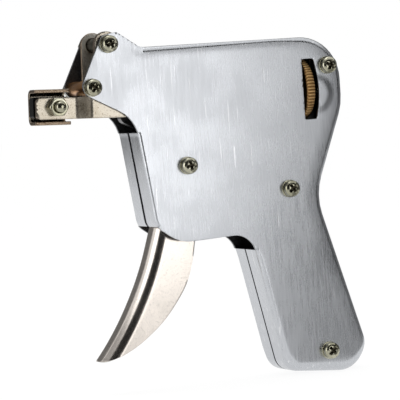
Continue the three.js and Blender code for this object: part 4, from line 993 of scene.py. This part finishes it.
# Where along the plate its step begins to be darkened, and how dark the step gets.
STEP_DARK_FROM, STEP_DARKENING = -13.6, 0.8
BLOCK_HALF, BLOCK_CORNER = 4.7, 1.0
STUD_RADIUS, STUD_PITCH, STUD_DEPTH, STUD_DOME = 2.45, 0.8, 0.13, 1.1
THREAD_START, THREAD_END, SHANK_FROM = 1.3, -9.6, -9.4
RIVET_RADIUS, RIVET_HEIGHT, RIVET_EDGE, RIVET_ROUND = 4.0, 1.3, 0.3, 0.6
CLAMP_FLATS, CLAMP_BORE = 8.0, 2.55
plate_outline = cheek_outline(PLATE_FRONT, PLATE_CORNER)
stud_hole = circle((STUD_X, NEEDLE_AXIS), STUD_BORE)
near_plate = stepped(plate_outline, [pivot_bore, stud_hole], *PLATE_STEP, PLATE_NEAR, PLATE_CHEEK_NEAR)
plate_piece = make_piece("clamp_cheek", tilted(near_plate), "holder",
                         [warm_nickel, brown_edge], ["clamp_plate"])
# The step's slope is marked darker, in a band that the plate's material reads.
x, y, z = points_of(plate_piece)
at = centre_of("needle_sleeve")
along = (x - at[0]) * np.cos(TILT) - (z - at[1]) * np.sin(TILT)
slope = np.clip((along - STEP_DARK_FROM) / DARKENING_BLEND, 0, 1)
slope = slope * np.clip((PLATE_STEP[1] - along) / DARKENING_BLEND, 0, 1)
mark(plate_piece, "darkening", slope * STEP_DARKENING)
thicken(plate_piece, PLATE_SHEET)
ease_edges(plate_piece, 0.3)
low, high = ends_of("needle_anvil")
# The block is painted near black: it stands for the shade inside the front of the channel, round the clamped
# needle.
near_black_painted_shade = plated("black_painted_shade", (0.012, 0.012, 0.013, 1), (0.03, 0.029, 0.028, 1),
               (0.008, 0.008, 0.008, 1), 0.45)
block = rectangle(*CHANNEL, NEEDLE_AXIS - BLOCK_HALF, NEEDLE_AXIS + BLOCK_HALF, BLOCK_CORNER)
block = slab(block, [stud_hole], low, high)
block = make_piece("clamp_block", tilted(block), "holder", [near_black_painted_shade], ["needle_anvil"])
ease_edges(block, 0.25)
low, high = ends_of("clamp_stud")
dome = np.linspace(0, np.pi / 2, 9)
start = low + THREAD_START
stud_profile = [*zip(STUD_RADIUS * np.sin(dome), low + STUD_DOME * (1 - np.cos(dome))),
                *threaded(STUD_RADIUS, STUD_DEPTH, STUD_PITCH, start, THREAD_END, start),
                (STUD_RADIUS, SHANK_FROM), (STUD_RADIUS, high - RIVET_HEIGHT),
                (RIVET_RADIUS - RIVET_EDGE, high - RIVET_HEIGHT),
                (RIVET_RADIUS, high - RIVET_HEIGHT + RIVET_EDGE), (RIVET_RADIUS, high - RIVET_ROUND),
                (RIVET_RADIUS - RIVET_ROUND, high), (0, high)]
stud_at = tilted(([(STUD_X, 0, NEEDLE_AXIS)], []))[0][0, ::2]
make_piece("riveted_stud", turned(stud_profile, stud_at, False), "holder", [zinc],
           ["clamp_stud"], 0.001)
hexagon = nut_surface(stud_at, CLAMP_FLATS, CLAMP_BORE, *ends_of("clamp_nut"), -TILT)
clamp = make_piece("clamp_hex_nut", hexagon, "clamp_nut", [zinc], ["clamp_nut"])
ease_edges(clamp, 0.12, 0.4)


# The studio: a white room with three soft lamps, in front, at the left and above, and the camera at
# the photograph's place, which is in front of the needle's end and a little above the grip.
CAMERA_TURN, CAMERA_LIFT, TOOL_TIP = np.radians((-23.2, 0.8, 4.3))
CAMERA_DISTANCE = 1.188
FOCAL_PX, PICTURE_PX, SENSOR = 2600.0, 400.0, 36.0
PIVOT_PX, CAMERA_SHIFT = (185.3, 165.7), -1.1
ROOM_LIGHT, ROOM_SHOWN = 0.6, 1.0
FLOOR_GLOW, GLOW_SHARE = 1.1, 0.8

tip = Matrix.Rotation(-TOOL_TIP, 3, "Y")
back = Vector((np.sin(CAMERA_TURN) * np.cos(CAMERA_LIFT), -np.cos(CAMERA_TURN) * np.cos(CAMERA_LIFT),
               np.sin(CAMERA_LIFT)))
right = Vector((0, 0, 1)).cross(back).normalized()
up = back.cross(right)
middle = PICTURE_PX / 2
ray = right * (PIVOT_PX[0] - middle) / FOCAL_PX - up * (PIVOT_PX[1] - middle) / FOCAL_PX - back
seen = tip @ Vector((0, -HALF_WIDTH * MM, 0))
camera_data = bpy.data.cameras.new("camera")
camera_data.sensor_width = SENSOR
camera_data.lens = FOCAL_PX * SENSOR / PICTURE_PX
camera = bpy.data.objects.new("camera", camera_data)
bpy.context.scene.collection.objects.link(camera)
axes = tip.transposed() @ Matrix((right, up, back)).transposed()
place = tip.transposed() @ (seen - ray * CAMERA_DISTANCE)
camera.matrix_world = Matrix.Translation(pivot + Vector((CAMERA_SHIFT * MM, 0, 0)) + place) @ axes.to_4x4()
bpy.context.scene.camera = camera


def shown_in(tree):
    """1 for what the camera, a reflection or glass looks at, and 0 for the light on the object."""
    path = node(tree, "LightPath")
    seen_by = math(tree, "MAXIMUM", path.outputs["Is Camera Ray"], path.outputs["Is Glossy Ray"])
    return math(tree, "MAXIMUM", seen_by, path.outputs["Is Transmission Ray"])


world = bpy.data.worlds.new("white_room")
bpy.context.scene.world = world
world.use_nodes = True
tree = world.node_tree
level = node(tree, "MapRange", {0: shown_in(tree), 3: ROOM_LIGHT, 4: ROOM_SHOWN})
tree.links.new(level.outputs[0], tree.nodes["Background"].inputs["Strength"])
tree.nodes["Background"].inputs["Color"].default_value = (1, 1, 1, 1)


def flat_sheet(name, corners, material):
    """A flat stage piece through four corners, in metres from the middle of the object."""
    mesh = bpy.data.meshes.new(name)
    mesh.from_pydata([tuple(centre + Vector(corner)) for corner in corners], [], [(0, 1, 2, 3)])
    mesh.materials.append(material)
    sheet = bpy.data.objects.new(name, mesh)
    bpy.context.scene.collection.objects.link(sheet)
    return sheet


centre = (Vector(cad_box[0]) + Vector(cad_box[1])) / 2
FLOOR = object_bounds()[0].z - centre.z
floor_paint, tree, shader, place = new_material("floor_paint", 0.0, 0.9, (0.95, 0.95, 0.95, 1))
glow = node(tree, "Emission", {"Color": (1, 1, 1, 1), "Strength": FLOOR_GLOW})
share = math(tree, "MULTIPLY", shown_in(tree), GLOW_SHARE)
mixed = node(tree, "MixShader", {0: share, 1: shader.outputs[0], 2: glow.outputs[0]})
tree.links.new(mixed.outputs[0], tree.nodes["Material Output"].inputs["Surface"])
flat_sheet("floor", [(-6, -6, FLOOR), (6, -6, FLOOR), (6, 6, FLOOR), (-6, 6, FLOOR)], floor_paint)


# Black, dim and grey cards stand outside the picture, where polished metal needs something dark
# to mirror: in front, over the key panel, on the floor, at the right, at the left and behind. Only
# reflections see them.
def card_paint(name, level):
    """A card's paint: it shines evenly at one grey, so that it looks alike from everywhere."""
    material, tree, shader, place = new_material(name, 0.0, 1.0, (0, 0, 0, 1))
    shader.inputs["Emission Color"].default_value = (1, 1, 1, 1)
    shader.inputs["Emission Strength"].default_value = level
    return material


black_paint, dim_paint, grey_paint = (card_paint(name, level) for name, level in (
    ("black_card", 0.015), ("dim_card", 0.18), ("grey_card", 0.38)))
CARDS = [
    ("front_card", black_paint,
     [(-0.60, -0.52, FLOOR), (0.06, -0.52, FLOOR), (0.06, -0.52, 0.55), (-0.60, -0.52, 0.55)]),
    ("high_card", black_paint,
     [(0.06, -0.51, 0.15), (0.50, -0.51, 0.15), (0.50, -0.45, 0.45), (0.06, -0.45, 0.45)]),
    ("right_card", black_paint,
     [(0.295, -0.50, FLOOR), (0.377, -0.20, FLOOR), (0.436, -0.20, 0.27), (0.36, -0.50, 0.15)]),
    ("right_far_card", dim_paint,
     [(0.377, -0.20, FLOOR), (0.50, 0.25, FLOOR), (0.55, 0.25, 0.45), (0.436, -0.20, 0.27)]),
    ("low_card", black_paint,
     [(0.21, -0.49, FLOOR), (0.30, -0.49, FLOOR), (0.30, -0.49, 0.0), (0.25, -0.49, -0.02)]),
    ("floor_card", grey_paint,
     [(0.14, -0.48, FLOOR + MM), (0.38, -0.48, FLOOR + MM), (0.24, -0.03, FLOOR + MM),
      (0.05, -0.03, FLOOR + MM)]),
    ("left_back_card", dim_paint,
     [(-0.50, 0.14, -0.021), (0.12, 0.50, -0.021), (0.12, 0.50, 0.6), (-0.50, 0.14, 0.6)]),
    ("right_back_card", dim_paint,
     [(0.50, 0.25, FLOOR), (0.12, 0.50, FLOOR), (0.12, 0.50, 0.5), (0.55, 0.25, 0.5)]),
    ("left_high_card", grey_paint,
     [(-0.55, -0.55, 0.33), (-0.52, 0.05, 0.33), (-0.20, 0.15, 0.75), (-0.20, -0.40, 0.75)]),
]
for name, paint, corners in CARDS:
    card = flat_sheet(name, corners, paint)
    card.visible_camera = False
    card.visible_diffuse = False
    card.visible_shadow = False
    card.visible_transmission = False


def area_lamp(name, size, strength, location):
    """A soft rectangular lamp that faces the object, of a strength in watts per square metre."""
    data = bpy.data.lights.new(name, "AREA")
    data.shape = "RECTANGLE"
    data.size, data.size_y = size
    data.energy = strength * size[0] * size[1]
    lamp = bpy.data.objects.new(name, data)
    lamp.location = centre + Vector(location)
    lamp.rotation_euler = (-Vector(location)).to_track_quat("-Z", "Y").to_euler()
    lamp.visible_camera = False
    bpy.context.scene.collection.objects.link(lamp)


area_lamp("key_panel", (0.16, 0.36), 3.9, (0.14, -0.50, 0.0))
area_lamp("left_panel", (0.30, 0.45), 4.5, (-0.50, -0.25, 0.05))
area_lamp("top_panel", (0.6, 0.6), 5.0, (-0.1, 0.1, 0.8))

bpy.context.scene.view_settings.view_transform = "Standard"
